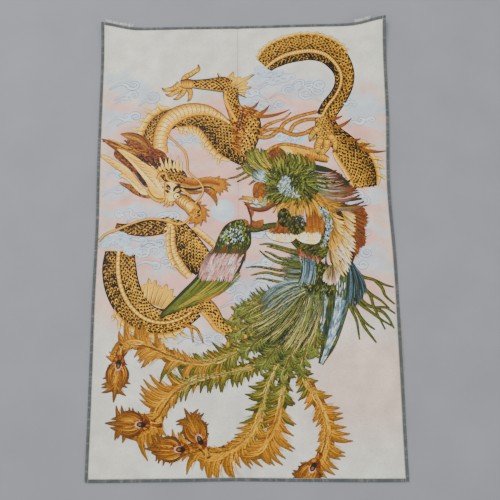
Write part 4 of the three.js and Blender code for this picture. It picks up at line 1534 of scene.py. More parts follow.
@dataclass
class Phoenix(Figure):
    """The phoenix, in green, blue, cream and gold weft."""

    GREENS = yarns("moss olive fern olive pine straw")
    FROND = yarns("pine moss fern slate olive moss")
    FROND_END = yarns("pine fern cream olive fern pine olive")
    NEAR = yarns("olive moss fern straw cream moss")
    FAR = yarns("amber gold straw gold straw amber")

    KIND = "phoenix"
    PIECES = (
        ("back_plume", "blue_weft", 2),
        ("left_plume", "blue_weft", 3),
        ("long_feather_left", "blue_weft", 5),
        ("long_feather_right", "blue_weft", 6),
        ("tail_feather_5", "gold_weft", 0),
        ("tail_feather_4", "gold_weft", 3),
        ("tail_feather_3", "gold_weft", 0, Stands.HALVES),
        ("tail_feather_2", "gold_weft", 1, Stands.HALVES),
        ("tail_feather_1", "gold_weft", 3, Stands.HALVES),
        ("tail_coverts", "green_weft", 8),
        ("folded_wing", "green_weft", 7, Stands.HALVES),
        ("right_wing", "cream_weft", 7),
        ("breast", "rust_weft", 9),
        ("ruff", "green_weft", 10),
        ("crest", "green_weft", 10),
        ("head", "green_weft", 12),
    )

    def folded_wing(self, b: Brush) -> None:
        """The folded wing that lies across the fold line, in three bands of colour."""
        outline = ("-50 0, -36 22, -15 32, 2 30, 12 8, 12 -18, 2 -34, -4 -56, -20 -85, -50 -110, -92 -131, -164 -158, "
                   "-130 -117, -100 -87, -80 -60, -62 -30")
        b.patch(outline, Dye.PINE, 0, rim=Dye.SOOT)
        b.tuft("-78 -70, -6 -76", "-168 -158, -92 -132", 30, 5.6, "moss fern olive", "moss olive", 0.06, 1,
               3, Dye.PINE)
        b.tuft("-66 -88, -22 -92", "-150 -146, -84 -128", 14, 2.2, "straw umber fern", "fern gold", 0.04, 4)
        b.tuft("-62 -26, 2 -30", "-88 -84, -26 -84", 34, 4.4, "brick pine umber", "pink", -0.04, 3.5)
        for k in range(3):
            y = -34 - 15 * k
            b.tuft([(-60 - 8 * k, y), (0 - 7 * k, y - 4)], [(-72 - 8 * k, y - 24), (-12 - 7 * k, y - 28)], 24, 3.6,
                   "brick pink rose", "pink rose white",
                   -0.05, 6.2 - k, 1.5, Dye.BRICK)
        b.tuft("-54 -14, 6 -16", "-66 -56, -2 -52", 30, 3.2, "olive rust pine", "brick olive", 0, 6)
        top = "-56 -20, -50 2, -36 20, -15 30, 2 28, 11 8, 11 -14, -10 -26"
        b.speckle(top, 330, "olive pine moss fern soot", 5.5, 2.8, -1.9, 6)
        b.speckle("-48 -12, -42 6, -28 16, -8 20, 4 6, -2 -12, -20 -18", 110, "ice white slate pine", 4, 1.8, -1.9,
                  7.4)

    def head(self, b: Brush) -> None:
        """The head in profile: face, beak, comb, wattles and eye."""
        soot, umber, rust, gold = yarns("soot umber rust gold")
        for root, tip, width, bend in (((12, 22), (38, 32), 15, -0.2), ((12, 20), (1, 34), 12, 0.2),
                ((14, 30), (22, 18), 12, 0.1), ((6, 60), (15, 38), 5, 0.25)):
            b.leaf(root, tip, width, rust, Dye.AMBER, bend, 0, 0.6, umber)
        b.ribbon("5 62 1, 10 50 2, 14 36 2, 13 16 1.2", "brick umber brick", 2)
        strap = "2 66 2, 14 57 4, 32 53 5, 48 57 5, 60 66 3"
        b.ribbon(strap, "amber rust umber", 1, grow=0.5)
        b.patch("14 60, 10 70, 20 76, 34 70, 44 80, 46 64, 34 57", Dye.WHITE, 3, rim=umber,
                shade=lambda x, y: blend(Dye.WHITE, Dye.FERN, (x - 14) / 34))
        comb = "20 80, 19 96, 24 107, 36 109, 45 102, 46 88, 42 80, 30 78"
        b.patch(comb, rust, 3, rim=umber)
        b.speckle(comb, 120, "amber rust amber", 5, 2, 1.4, 4.4)
        b.patch("28 74, 34 80, 39 72, 33 66", gold, 5, rim=umber, mesh=4)
        b.leaf((24, 76), (-4, 82), 6, gold, Dye.AMBER, 0.1, 5, 0.3, umber)
        b.leaf((22, 70), (-11, 74), 8, Dye.STRAW, Dye.AMBER, -0.14, 5.5, 0.3, soot)
        b.leaf((20, 66), (-2, 70), 4, Dye.AMBER, rust, 0.12, 5, 0.3, soot)
        b.bead(19, 71, 0.3, 8, 5, soot, umber, 7.4)
        b.bead(19, 71, 0.3, 4, 2.6, Dye.WHITE, Dye.ICE, 8.6)
        b.tuft("16 66, 38 62", "24 60, 44 58", 9, 2.4, "pine ice slate", "olive", 0.1, 5)

    def crest(self, b: Brush) -> None:
        """Green and blue crest feathers that sweep up and to the left."""
        neck = "44 116, 60 128, 66 100, 62 76, 52 62, 42 60, 48 80, 50 100"
        b.patch(neck, Dye.OLIVE, 0)
        b.speckle(neck, 150, self.GREENS, 7, 2.2, 1.5, 1)
        for line in ("46 128, 26 140, 8 134, -14 122, -32 118", "40 122, 22 132, 8 122, -14 111",
                     "46 112, 30 116, 20 112, 10 104", "56 140, 36 152, 14 150, -8 140, -16 138"):
            b.strand(line, 6.5, "pine moss olive", 0.5, 0.2)
        b.tuft("40 122, 62 140", "0 138, 2 160, 12 176, 30 180, 46 176", 54, 3.6, self.GREENS, "fern pine moss",
               0.1, 1, 3, Dye.SOOT)
        b.tuft("38 112, 50 128", "14 126, 30 142", 16, 3.6, "ice slate white", "slate olive", 0.14, 3)
        b.tuft("42 108, 48 112", "26 126, 42 136", 18, 3.2, "white ice", "ice", 0.1, 3.6)

    def ruff(self, b: Brush) -> None:
        """The ruff: strokes that radiate from behind the cheek."""
        body = "60 66, 54 100, 56 134, 72 152, 106 160, 136 148, 170 138, 196 122, 214 98, 196 70, 150 56, 104 56"
        b.patch(body, Dye.PINE, 0)
        b.tuft("66 130, 140 124", "60 160, 86 168, 116 166, 140 148", 50, 4.0, self.GREENS, "fern pine olive", -0.1,
               0.5, 3, Dye.SOOT)
        b.tuft("120 146, 150 66", "176 136, 206 116, 226 96, 236 76, 250 57", 30, 5.2,
               "pine slate fern olive teal", "rust brick umber", -0.12, 0.8, 2.5, Dye.SOOT)
        b.tuft("124 140, 150 84", "176 130, 196 112, 214 92, 226 74", 24, 2.2, "slate fern ice straw",
               "amber brick pink", -0.12, 4, 2)
        b.tuft("110 88, 150 84", "186 92, 198 74, 196 56, 180 46", 34, 4.2, "gold olive amber straw",
               "rust gold olive", -0.1, 2, 2.5, Dye.UMBER)
        b.tuft("64 84, 96 84, 150 84", "58 44, 76 34, 100 28, 128 36, 156 36, 182 34", 52, 3.6,
               "gold moss straw", "amber gold straw", 0.08, 2.2, 3, Dye.UMBER)
        core = "60 72, 58 112, 68 140, 92 152, 124 140, 146 116, 150 88, 132 68, 100 62, 76 60"
        b.speckle(core, 620, "moss olive fern pine olive soot", 9, 2.1, 1.15, 5)
        b.speckle("110 132, 146 128, 176 116, 186 100, 150 92, 118 96", 150, "pine soot fern olive", 9, 2, -0.25, 5)
        patch = "72 112, 82 122, 92 118, 94 104, 104 90, 112 78, 98 76, 84 82, 72 88, 68 98"
        b.speckle(patch, 230, "ice mist white slate fern slate", 6.5, 1.5, 1.2, 9.2)
        for i in range(420):
            a = math.tau * i / 420
            start, reach = b.rng.uniform(14, 40), b.rng.uniform(10, 20)
            cx, cy = 96 + 12 * math.cos(a), 104 + 8 * math.sin(a)
            near = (cx + start * math.cos(a), cy + start * 0.9 * math.sin(a))
            far = (cx + (start + reach) * math.cos(a - 0.12), cy + (start + reach) * 0.9 * math.sin(a - 0.12))
            names = "gold straw amber umber" if near[1] < 72 else "pine olive moss fern soot olive"
            b.leaf(near, far, 1.7, b.jitter(b.rng.choice(yarns(names)), 0.2), level=8 + b.rng.random(), bend=-0.06)

    def breast(self, b: Brush) -> None:
        """The breast: dark rounds, rust fur and cream scallops, with the strap to the throat."""
        b.strand("2 14, 24 13, 46 18, 66 20, 84 18", 12, "pine olive umber", 0, 0.9, "olive pine moss")
        b.patch("98 0, 104 -22, 116 -38, 136 -50, 152 -50, 164 -36, 168 -8, 160 4", Dye.OLIVE, 0)
        b.speckle("98 0, 104 -22, 116 -38, 136 -50, 152 -50, 166 -36, 170 -8, 160 4", 330,
                  "olive pine soot moss umber",
                  6.5, 2.6, 0.6, 1)
        b.tuft("104 -24, 120 -38, 146 -44", "108 -44, 126 -58, 150 -58", 40, 3.4, "rust brick amber", "rust pink",
               0.06, 1.6)
        b.ribbon("84 12 3, 90 -2 4, 98 -16 4, 110 -32 2", "umber olive umber", 2)
        b.tuft("66 30, 84 26", "52 -4, 74 -8, 100 -2", 46, 3.8, "rust amber", "brick rust amber", 0.06, 2)
        b.tuft("124 52, 156 46", "124 2, 154 -2", 60, 3.8, "brick rust rust", "amber amber gold", 0.03, 2)
        for shape, middle in (
            ("42 8, 60 3, 84 4, 102 0, 99 -10, 86 -15, 66 -12, 50 -5", 72),
            ("98 2, 112 7, 134 4, 151 6, 151 -8, 142 -18, 122 -17, 108 -11", 126),
        ):
            b.patch(shape, Dye.CREAM, 4.5, rim=Dye.UMBER, shade=lambda x,
                    y: blend(Dye.WHITE, Dye.CREAM, 0.6 + 0.4 * math.sin(x / 5)))
            for k in range(5):
                b.leaf((middle - 16 + 8 * k, 3), (middle - 20 + 10 * k, -11), 1.3, Dye.GOLD, Dye.CREAM, 0.1, 6)
        b.tuft("56 14, 96 14", "50 4, 96 1", 26, 3.0, "rust amber", "brick amber", 0, 6.4)
        b.tuft("122 18, 154 16", "118 3, 154 2", 24, 3.0, "rust amber", "amber gold", 0, 6.4)
        b.round(80, 36, 13, 70, "soot olive pine moss", 6.6, 1.5)
        b.round(104, 20, 20, 200, "soot pine olive moss umber", 7)
        b.speckle("102 42, 120 40, 124 26, 114 16, 106 26", 34, "slate ice lavender pine", 3.6, 1.7, 0.4, 9)

    def right_wing(self, b: Brush) -> None:
        """The open wing at the right: rust primaries outside, rows of cream feathers inside."""
        b.patch("150 58, 196 62, 226 50, 236 20, 230 -20, 218 -44, 204 -76, 176 -98, 156 -84, 160 -40, 158 0",
                Dye.UMBER, 0)
        roots, tips = "196 68, 212 34, 210 -8", "240 54, 249 30, 241 8, 242 -18, 230 -28, 224 -44"
        b.tuft(roots, tips, 15, 15, "rust brick", "rust amber", -0.1, 1, 1.5, Dye.SOOT, 0.68)
        b.tuft(roots, tips, 70, 2.0, "rust amber umber", "brick rust umber", -0.1, 3, 3)
        for k, (roots, tips, count, wide) in enumerate((
            ("186 60, 198 40, 198 12", "223 42, 223 28, 223 14, 220 2, 218 -12", 8, 10),
            ("178 54, 192 18, 184 -24", "220 -6, 219 -30, 212 -46, 209 -62, 202 -76, 195 -88", 13, 8.4),
            ("166 54, 182 18, 170 -26", "208 -8, 205 -34, 194 -52, 184 -64, 174 -72", 13, 7.4),
            ("152 60, 176 46, 172 -2", "200 34, 200 8, 194 -14, 184 -36, 176 -46", 15, 5.8),
        )):
            pale = yarns("cream white cream") if k < 3 else yarns("straw cream")
            b.tuft(roots, tips, count, wide, "gold straw olive", pale, -0.12, 2.6 + 1.7 * k, 1.0, Dye.SOOT, 0.66)
            b.tuft(roots, [(x - 3, y + 4) for x, y in way(tips)], 2 * count, 1.3, "umber amber soot",
                   "gold umber amber", -0.12,
                   4.0 + 1.7 * k, 2)
        b.tuft("166 -60, 176 -62", "152 -82, 156 -95, 168 -101, 180 -97, 187 -84", 12, 7, "olive gold",
               "white cream pink", 0.04, 10.5, 1, Dye.OLIVE, 0.68)
        b.tuft("166 -62, 176 -64", "154 -88, 168 -96, 184 -86", 16, 1.4, "olive umber", "gold olive", 0.04, 12.5)
        bow = "149 57, 162 53, 173 38, 177 20, 172 0, 164 -20, 152 -24, 158 -4, 162 14, 158 34"
        b.patch(bow, Dye.SLATE, 9.6)
        b.speckle(bow, 210, "ice mist fern soot slate pine", 5.5, 2.2, -1.3, 10.4)

    def left_plume(self, b: Brush) -> None:
        """Loose green strands that blow out to the left of the body."""
        for i, line in enumerate((
            "110 -34, 90 -30, 64 -22, 48 -17, 30 -18", "112 -38, 92 -34, 72 -28, 56 -24, 44 -22",
            "114 -44, 92 -48, 70 -46, 52 -36, 40 -32", "116 -50, 90 -56, 66 -54, 46 -44, 30 -30",
            "118 -58, 96 -62, 74 -70, 50 -66, 24 -62, 2 -64", "120 -70, 96 -78, 72 -80, 44 -74, 26 -76, 12 -79",
            "122 -84, 98 -90, 80 -94, 56 -90, 38 -86, 22 -86", "124 -96, 104 -102, 84 -108, 66 -114, 44 -118",
        )):
            b.strand(line, 7.5 - 0.25 * i, yarns("pine moss olive") if i % 2 else yarns("pine olive moss"),
                     (i % 3) * 1.2, 0.2)
        b.tuft("128 -36, 134 -100", "96 -36, 80 -68, 84 -104", 70, 3.4, "pine olive teal", "olive pine", 0.14, 3.4)
        b.tuft("132 -36, 136 -100", "92 -34, 72 -62, 74 -108", 90, 1.8, "ice fern moss pine soot olive",
               "olive slate pine moss", 0.14, 5)
        b.tuft("108 -42, 126 -84", "112 -104, 92 -124, 66 -120", 60, 1.8, "ice olive pine soot fern white",
               "slate pine moss", 0.1, 6)

    def back_plume(self, b: Brush) -> None:
        """The dark tuft behind the wing and its long wavy strands."""
        for i, line in enumerate((
            "210 -62, 228 -82, 252 -90, 274 -100, 291 -105", "256 -92, 268 -106, 274 -122, 291 -138",
            "212 -84, 226 -100, 246 -118, 264 -130, 280 -146",
            "214 -96, 232 -106, 244 -120, 250 -142, 258 -160, 270 -186",
            "212 -112, 234 -136, 252 -144, 272 -144, 291 -156", "208 -116, 226 -138, 244 -152, 262 -166, 284 -180",
            "206 -126, 216 -150, 232 -172, 250 -186", "206 -132, 220 -156, 230 -180, 244 -200, 252 -211",
            "200 -130, 208 -150, 216 -170, 220 -205", "250 -146, 266 -152, 278 -166, 287 -184",
        )):
            b.strand(line, 6.2, "pine moss olive", (i % 4) * 1.1, 0.3, "olive pine moss")
        b.tuft("202 -44, 214 -60", "196 -130, 212 -142, 228 -124, 236 -112", 76, 5, "teal pine slate soot",
               "teal soot slate pine", 0.06, 5)

    def long_feather(self, b: Brush, stops: Way) -> None:
        """A broad blue-grey feather with an olive edge."""
        spine = Spine(stops)
        b.ribbon(spine, "soot", 0, grow=1.2)
        b.ribbon(spine, "olive slate ice slate pine olive", 1)
        for i in range(int(spine.length / 0.9)):
            s, side = i * 0.9, b.rng.uniform(-0.95, 0.95)
            names = "ice slate slate white" if abs(side - 0.15) < 0.5 else "moss olive pine pine teal"
            dye = b.rng.choice(yarns(names))
            b.leaf(spine.off(s, side), spine.off(min(spine.length, s + 14), side * 0.85), 2.2, b.jitter(dye, 0.2),
                   level=2 + b.rng.random())

    def long_feather_left(self, b: Brush) -> None:
        """The left one of the two long feathers."""
        self.long_feather(b, "156 -100 11, 152 -140 12, 145 -176 12, 134 -210 10, 116 -240 1.5")

    def long_feather_right(self, b: Brush) -> None:
        """The right one of the two long feathers."""
        self.long_feather(b, "188 -80 16, 184 -125 20, 173 -168 18, 160 -212 13, 144 -250 4")

    def tail_coverts(self, b: Brush) -> None:
        """Green fronds that fan out over the roots of the tail."""
        b.patch("112 -40, 150 -52, 176 -84, 174 -112, 152 -136, 144 -176, 134 -214, 108 -240, 76 -250, 42 -238, "
                "14 -216, -2 -190, 0 -166, 10 -148, 40 -130, 92 -100", Dye.PINE, 0)
        tips = "0 -140 15, -10 -162 16, -8 -188 17, 10 -218 18, 40 -244 18, 76 -258 17, 110 -246 16, 134 -220 14"
        for k, (x, y, barb) in enumerate(way(tips)):
            root = (112 + 3 * k, -104 - 4 * k)
            middle = ((root[0] + x) / 2 + 4, (root[1] + y) / 2 + 9 - 2 * k)
            b.plume([(*root, barb * 0.6), (*middle, barb * 1.15), (x, y, barb * 0.8)], self.FROND, self.FROND_END,
                    5.6, 1.7, 1 + k % 3, 1.1)
        b.tuft("100 -104, 150 -124", "12 -166, 24 -196, 56 -214, 90 -222, 126 -204", 210, 1.9,
               "fern pine soot fern soot olive slate", "pine fern soot cream soot", 0.07, 7, 9)
        b.tuft("98 -92, 122 -118", "30 -130, 34 -158, 70 -172", 70, 2.0, "ice slate soot pine fern",
               "slate olive pine", -0.12, 7, 6)
        b.speckle("112 -46, 152 -54, 176 -84, 176 -112, 148 -132, 122 -130, 104 -108", 620,
                  "olive pine soot moss umber olive fern", 6.5, 2.2, 1.3, 7)
        b.tuft("114 -44, 140 -52", "104 -100, 134 -96", 60, 2.0, "slate ice pine soot teal",
               "slate pine ice", 0.06, 8.4)

    def tail_feather_1(self, b: Brush) -> None:
        """The uppermost tail feather."""
        b.plume("66 -190 20, 20 -206 30, -20 -228 33, -62 -243 31, -104 -245 32, -146 -232 33, -184 -216 29, "
                "-210 -211 22",
                self.NEAR, self.FAR)
        b.plume("-200 -210 10, -220 -213 17, -234 -225 20, -240 -238 18", self.FAR, self.FAR, 6.5, level=1)
        b.eye(-243, -247, -1.68, 90, 50)

    def tail_feather_2(self, b: Brush) -> None:
        """The second tail feather."""
        b.plume("64 -228 16, 16 -252 28, -30 -264 32, -80 -274 34, -122 -292 37, -148 -318 37, -162 -342 32, "
                "-180 -356 24",
                self.NEAR, self.FAR)
        b.eye(-196, -359, 3.1)

    def tail_feather_3(self, b: Brush) -> None:
        """The third tail feather, with two eyes."""
        b.plume("74 -232 16, 46 -280 32, 32 -326 38, 14 -368 40, -16 -398 37, -54 -410 32, -96 -405 24",
                self.NEAR, self.FAR, turnover=0.3)
        b.eye(-121, -404, 3.12, 88, 56, 4)
        b.eye(-85, -388, 2.05, 86, 54, 7)

    def tail_feather_4(self, b: Brush) -> None:
        """The short middle tail feather."""
        b.plume("84 -232 16, 74 -284 32, 66 -326 36, 56 -358 34, 42 -384 24", self.NEAR, self.FAR)

    def tail_feather_5(self, b: Brush) -> None:
        """The right-hand tail feather."""
        b.plume("92 -228 16, 112 -274 28, 134 -314 29, 148 -348 29, 150 -380 27, 143 -408 25, 130 -430 20",
                self.NEAR, self.FAR, turnover=0.25)
        b.eye(125, -435, -2.1, 66, 56)


# ---- moon, clouds and ground


@dataclass
class Sky(Figure):
    """The moon disc and the scroll lines of the clouds."""

    moon_at: Point = (-42, 52)
    moon_radius: float = 23.0
    reach: float = 288.0
    clouds: tuple[tuple[float, float, float, float], ...] = (
        (-250, 330, 40, 20), (-215, 305, 36, 16), (-275, 245, 22, 30), (-230, 250, 30, 10), (60, 335, 60, 16),
        (130, 310, 66, 20), (30, 300, 50, 18),
        (240, 275, 46, 20), (255, 240, 34, 20), (-105, 203, 44, 13), (-215, 50, 58, 14), (-150, 44, 40, 8),
        (-240, -6, 46, 14), (-175, -20, 48, 20),
        (-150, -56, 40, 12), (0, -96, 70, 16), (20, -118, 50, 14), (256, 74, 36, 16), (262, -38, 30, 12),
        (250, -62, 40, 14), (-60, 318, 34, 12),
        (275, 120, 18, 20), (-262, 95, 28, 16), (90, 204, 60, 12), (40, 270, 60, 10), (262, 8, 26, 8),
        (60, -52, 60, 8), (40, 0, 30, 12),
        (-262, 130, 20, 8), (-90, -196, 60, 10),
    )

    def build(self) -> None:
        """Weave the moon and the clouds."""
        self.weave("cloud_scrolls", "pale_weft", 0.8, self.scrolls, Stands.NOTHING)
        self.woven.clear()
        self.weave("moon_disc", "pale_weft", 0, self.moon)

    def scrolls(self, b: Brush) -> None:
        """Scrolls spread over each cloud."""
        for x, y, wide, tall in self.clouds:
            for i in range(max(2, round(wide * tall / 230))):
                vary, hand = b.rng.uniform, 1 if i % 2 else -1
                cx, cy = x + vary(-0.75, 0.75) * wide, y + vary(-0.6, 0.6) * tall
                tail = vary(16, 44)
                if abs(cx) + tail < self.reach:
                    b.scroll(cx, cy, vary(8, 16), vary(0.9, 1.6), vary(2, 5), hand, tail, vary(4.5, 7))

    def moon(self, b: Brush) -> None:
        """The moon disc."""
        x, y = self.moon_at
        r = self.moon_radius
        turns = [math.tau * k / 14 for k in range(14)]
        shine = lambda px, py: blend(Dye.WHITE, Dye.MIST, min(1, math.dist((px, py), (x - 4, y + 6)) / 16))
        b.patch([(x + r * math.cos(a), y + r * math.sin(a)) for a in turns], Dye.MIST, 0, shade=shine)


@dataclass
class GroundCloth:
    """The brocade ground: one sheet with the sky woven in, and loose floats on its back."""

    loom: Loom
    sky: Sky
    width: float = 598.6
    length: float = 923.6
    pitch: float = 3.2
    fine: tuple[float, ...] = (-9, -6, -4, -3, -2, -1, 0, 1, 2, 3, 4, 6, 9)
    figures: list[Weft] = field(default_factory=list)
    smear: int = 5

    def columns(self) -> np.ndarray:
        """Where the columns of the sheet lie, closer together at the fold line."""
        fold = self.loom.lie.fold_x
        half = self.width / 2
        left = np.linspace(-half, fold - 12, round((half + fold) / self.pitch))
        right = np.linspace(fold + 12, half, round((half - fold) / self.pitch))
        return np.concatenate([left, fold + np.array(self.fine, float), right])

    def cloudiness(self, x: np.ndarray, y: np.ndarray) -> np.ndarray:
        """How much of the blue cloud yarn shows at each point."""
        total = np.zeros_like(x)
        warp_x = x + 9 * np.sin(y / 11 + x / 60) + 5 * np.sin(y / 5.3 + 1.0)
        warp_y = y + 5 * np.sin(x / 15 + 0.7) + 3 * np.sin(x / 6.1 + y / 25)
        for cx, cy, wide, tall in self.sky.clouds:
            for k in range(3):
                shift = (0.5 * wide * math.sin(cx + 2.3 * k), 0.55 * tall * math.sin(cy + 1.9 * k + 0.5))
                across = (warp_x - cx - shift[0]) / (wide * (0.95 - 0.2 * k))
                d = np.hypot(across, (warp_y - cy - shift[1]) / (tall * (0.62 + 0.1 * k)))
                total = np.maximum(total, smooth((1.16 - d) / 0.3) * (0.95 - 0.18 * k))
        return total

    def face_dye(self, x: np.ndarray, y: np.ndarray) -> np.ndarray:
        """The colour of the face at each point, with painted shade along the fold crease and near the left and right
        edges.
        """
        ivory, rose, mist, white = map(np.array, hues("ivory rose mist white"))
        drift = 26 * np.sin(x / 57 + 1.2) + 18 * np.sin(x / 23 + y / 90) + 10 * np.sin(y / 17 + x / 31)
        pink = smooth((345 + drift - y) / 90) * smooth((y + 215 + drift) / 90)
        streak = np.sin(y / 8 + 1.5 * np.sin(x / 38) + 0.7 * np.sin(x / 17)) + 0.6 * np.sin(y / 19 - x / 66)
        pink *= 0.7 + 0.3 * smooth((streak + 1.2) / 1.8)
        pink *= 0.55 + 0.45 * smooth((300 - np.abs(x)) / 60)
        right = 0.5 * smooth((x - 60) / 120) * smooth((-150 - y) / 90) * smooth((y + 440) / 120)
        pink = np.clip(np.maximum(pink, right), 0, 1)[:, None] * 0.92
        cloud = self.cloudiness(x, y)[:, None] * 0.92
        dye = ivory + (rose - ivory) * pink
        dye = dye + (mist - dye) * cloud
        soft = 0.03 * np.sin(x / 37 + y / 53) + 0.025 * np.sin(x / 11 - y / 19)
        off = np.abs(x - self.loom.lie.fold_x)
        # painted shade: a narrow dark line in the fold crease, with a faint wider darkening beside it
        crease_shade = 0.34 * np.exp(-((off / 1.1) ** 2)) * smooth((y + 60) / 240) + 0.05 * np.exp(-((off / 9) ** 2))
        # painted shade: the face is darkened towards the left and right edges
        edge = 0.08 * smooth((np.abs(x) - 262) / 36)
        return np.clip(dye * (1 + soft - crease_shade - edge)[:, None] + (white - dye) * 0.04, 0, 1)

    def back_dye(self, xs: np.ndarray, ys: np.ndarray, seed: int = 5) -> np.ndarray:
        """The colour of the back: ground yarn, with the figures' yarns running across it as loose floats.

        Args:
            xs: columns of the sheet.
            ys: rows of the sheet.
            seed: seed of the yarn-to-yarn variation.

        Returns:
            One colour for each point of the sheet, row by row.
        """
        rng = np.random.default_rng(seed)
        points = np.vstack([w.points for w in self.figures])[:, :2]
        dyes = np.vstack([w.dyes for w in self.figures])
        col = np.clip(np.searchsorted(xs, points[:, 0]), 0, len(xs) - 1)
        row = np.clip(np.searchsorted(ys, points[:, 1]), 0, len(ys) - 1)
        total = np.zeros((len(ys), len(xs), 3))
        count = np.zeros((len(ys), len(xs), 1))
        np.add.at(total, (row, col), dyes)
        np.add.at(count, (row, col), 1)
        tint, share = total / np.maximum(count, 1), (count > 0).astype(float)
        smear_tint, smear = np.zeros_like(tint), np.zeros_like(share)
        for k in range(-self.smear, self.smear + 1):
            weight = 1 - abs(k) / (self.smear + 1)
            smear_tint += weight * np.roll(tint * share, k, axis=1)
            smear += weight * np.roll(share, k, axis=1)
        tint = smear_tint / np.maximum(smear, 1e-6)
        shown = smooth(smear / 2.2)
        yarn = 0.86 + 0.2 * rng.random((len(ys), 1, 1)) + 0.08 * rng.random((len(ys), len(xs), 1))
        float_mix = 0.55 + 0.4 * rng.random((len(ys), 1, 1))
        ground = np.array(Dye.SAND.rgb) * yarn
        woven = (tint * 0.8 + np.array(Dye.UMBER.rgb) * 0.15) * yarn
        return (ground + (woven - ground) * shown * float_mix).reshape(-1, 3)

    def build(self) -> None:
        """Make the sheet, closed and two-sided, and let it bend at the fold line."""
        lie = self.loom.lie
        xs = self.columns()
        ys = np.linspace(-self.length / 2, self.length / 2, round(self.length / self.pitch))
        gx, gy = (g.ravel() for g in np.meshgrid(xs, ys))
        cols, count = len(xs), len(gx)
        top = lie.place(gx, gy, np.full(count, lie.cloth_top))
        under = lie.place(gx, gy, np.full(count, lie.cloth_bottom))
        faces: list[tuple[int, ...]] = []
        for j in range(len(ys) - 1):
            for i in range(cols - 1):
                a = j * cols + i
                faces.append((a, a + 1, a + cols + 1, a + cols))
                faces.append((count + a, count + a + cols, count + a + cols + 1, count + a + 1))
        rim = [*range(cols), *(j * cols + cols - 1 for j in range(1, len(ys)))]
        rim += [count - 1 - i for i in range(1, cols)] + [j * cols for j in range(len(ys) - 2, 0, -1)]
        faces += [(b, a, a + count, b + count) for a, b in zip(rim, rim[1:] + rim[:1])]
        dyes = np.vstack([self.face_dye(gx, gy), self.back_dye(xs, ys)])
        cut = np.column_stack([gx, gy, np.zeros(count)]) * MM
        made = self.loom.mesh("ground_cloth", np.vstack([top, under]), faces, dyes, np.vstack([cut, cut]))
        made.data.shade_smooth()
        made.data.set_sharp_from_angle(angle=math.radians(50))
        self.loom.dress(made, "ground_cloth", ["ground_cloth_left", "ground_cloth_right"])
        self.loom.attach(made, True, 0)


# ---- overlocked edging


@dataclass
class Threads:
    """Round threads, gathered flat in millimetres before they are laid."""

    points: list[Row] = field(default_factory=list)
    marks: list[Row] = field(default_factory=list)
    dyes: list[Colour] = field(default_factory=list)
    faces: list[tuple[int, ...]] = field(default_factory=list)
    around: int = 5

    def add(self, line: Sequence[Row], radius: float, dye: Colour) -> None:
        """A closed round thread, tapering a little at its ends.

        Args:
            line: x, y, level rows of its middle line.
            radius: radius of the thread.
            dye: its colour.
        """
        p, around = np.array(line), self.around
        d = np.gradient(p, axis=0)
        d /= np.maximum(1e-9, np.linalg.norm(d, axis=1))[:, None]
        run = np.concatenate([[0], np.cumsum(np.linalg.norm(np.diff(p, axis=0), axis=1))])
        base = len(self.points)
        side = np.cross(d[0], (0, 0, 1) if abs(d[0][2]) < 0.9 else (1, 0, 0))
        for i in range(len(p)):
            side = side - d[i] * np.dot(side, d[i])
            side /= max(1e-9, float(np.linalg.norm(side)))
            up = np.cross(d[i], side)
            r = radius * (0.6 if i in (0, len(p) - 1) else 1.0)
            for k in range(around):
                a = math.tau * k / around
                self.points.append(tuple(p[i] + r * (math.cos(a) * side + math.sin(a) * up)))
                self.marks.append((run[i], k / around, 0))
                self.dyes.append(dye)
        for i in range(len(p) - 1):
            for k in range(around):
                a, b = base + i * around + k, base + i * around + (k + 1) % around
                self.faces.append((a, b, b + around, a + around))
        self.faces.append(tuple(base + k for k in range(around - 1, -1, -1)))
        self.faces.append(tuple(base + (len(p) - 1) * around + k for k in range(around)))

    def piece(self, loom: Loom, name: str, laid: np.ndarray, nodes: Sequence[str], crosses: bool, side: float) -> None:
        """Make one dressed piece of the threads.

        Args:
            loom: the loom that makes it.
            name: the piece's name.
            laid: laid place of each point, in metres.
            nodes: CAD nodes that it stands for.
            crosses: whether it bends at the fold.
            side: below 0 on the left half.
        """
        made = loom.mesh(name, laid, self.faces, np.array(self.dyes), np.array(self.marks) * MM)
        made.data.shade_smooth()
        loom.dress(made, "overlock_thread", nodes)
        loom.attach(made, crosses, side)


class Side(Enum):
    """The four sides of the panel, by the name in the edging's nodes."""

    LEFT = "left_side"
    RIGHT = "right_side"
    TOP = "top"
    BOTTOM = "bottom"


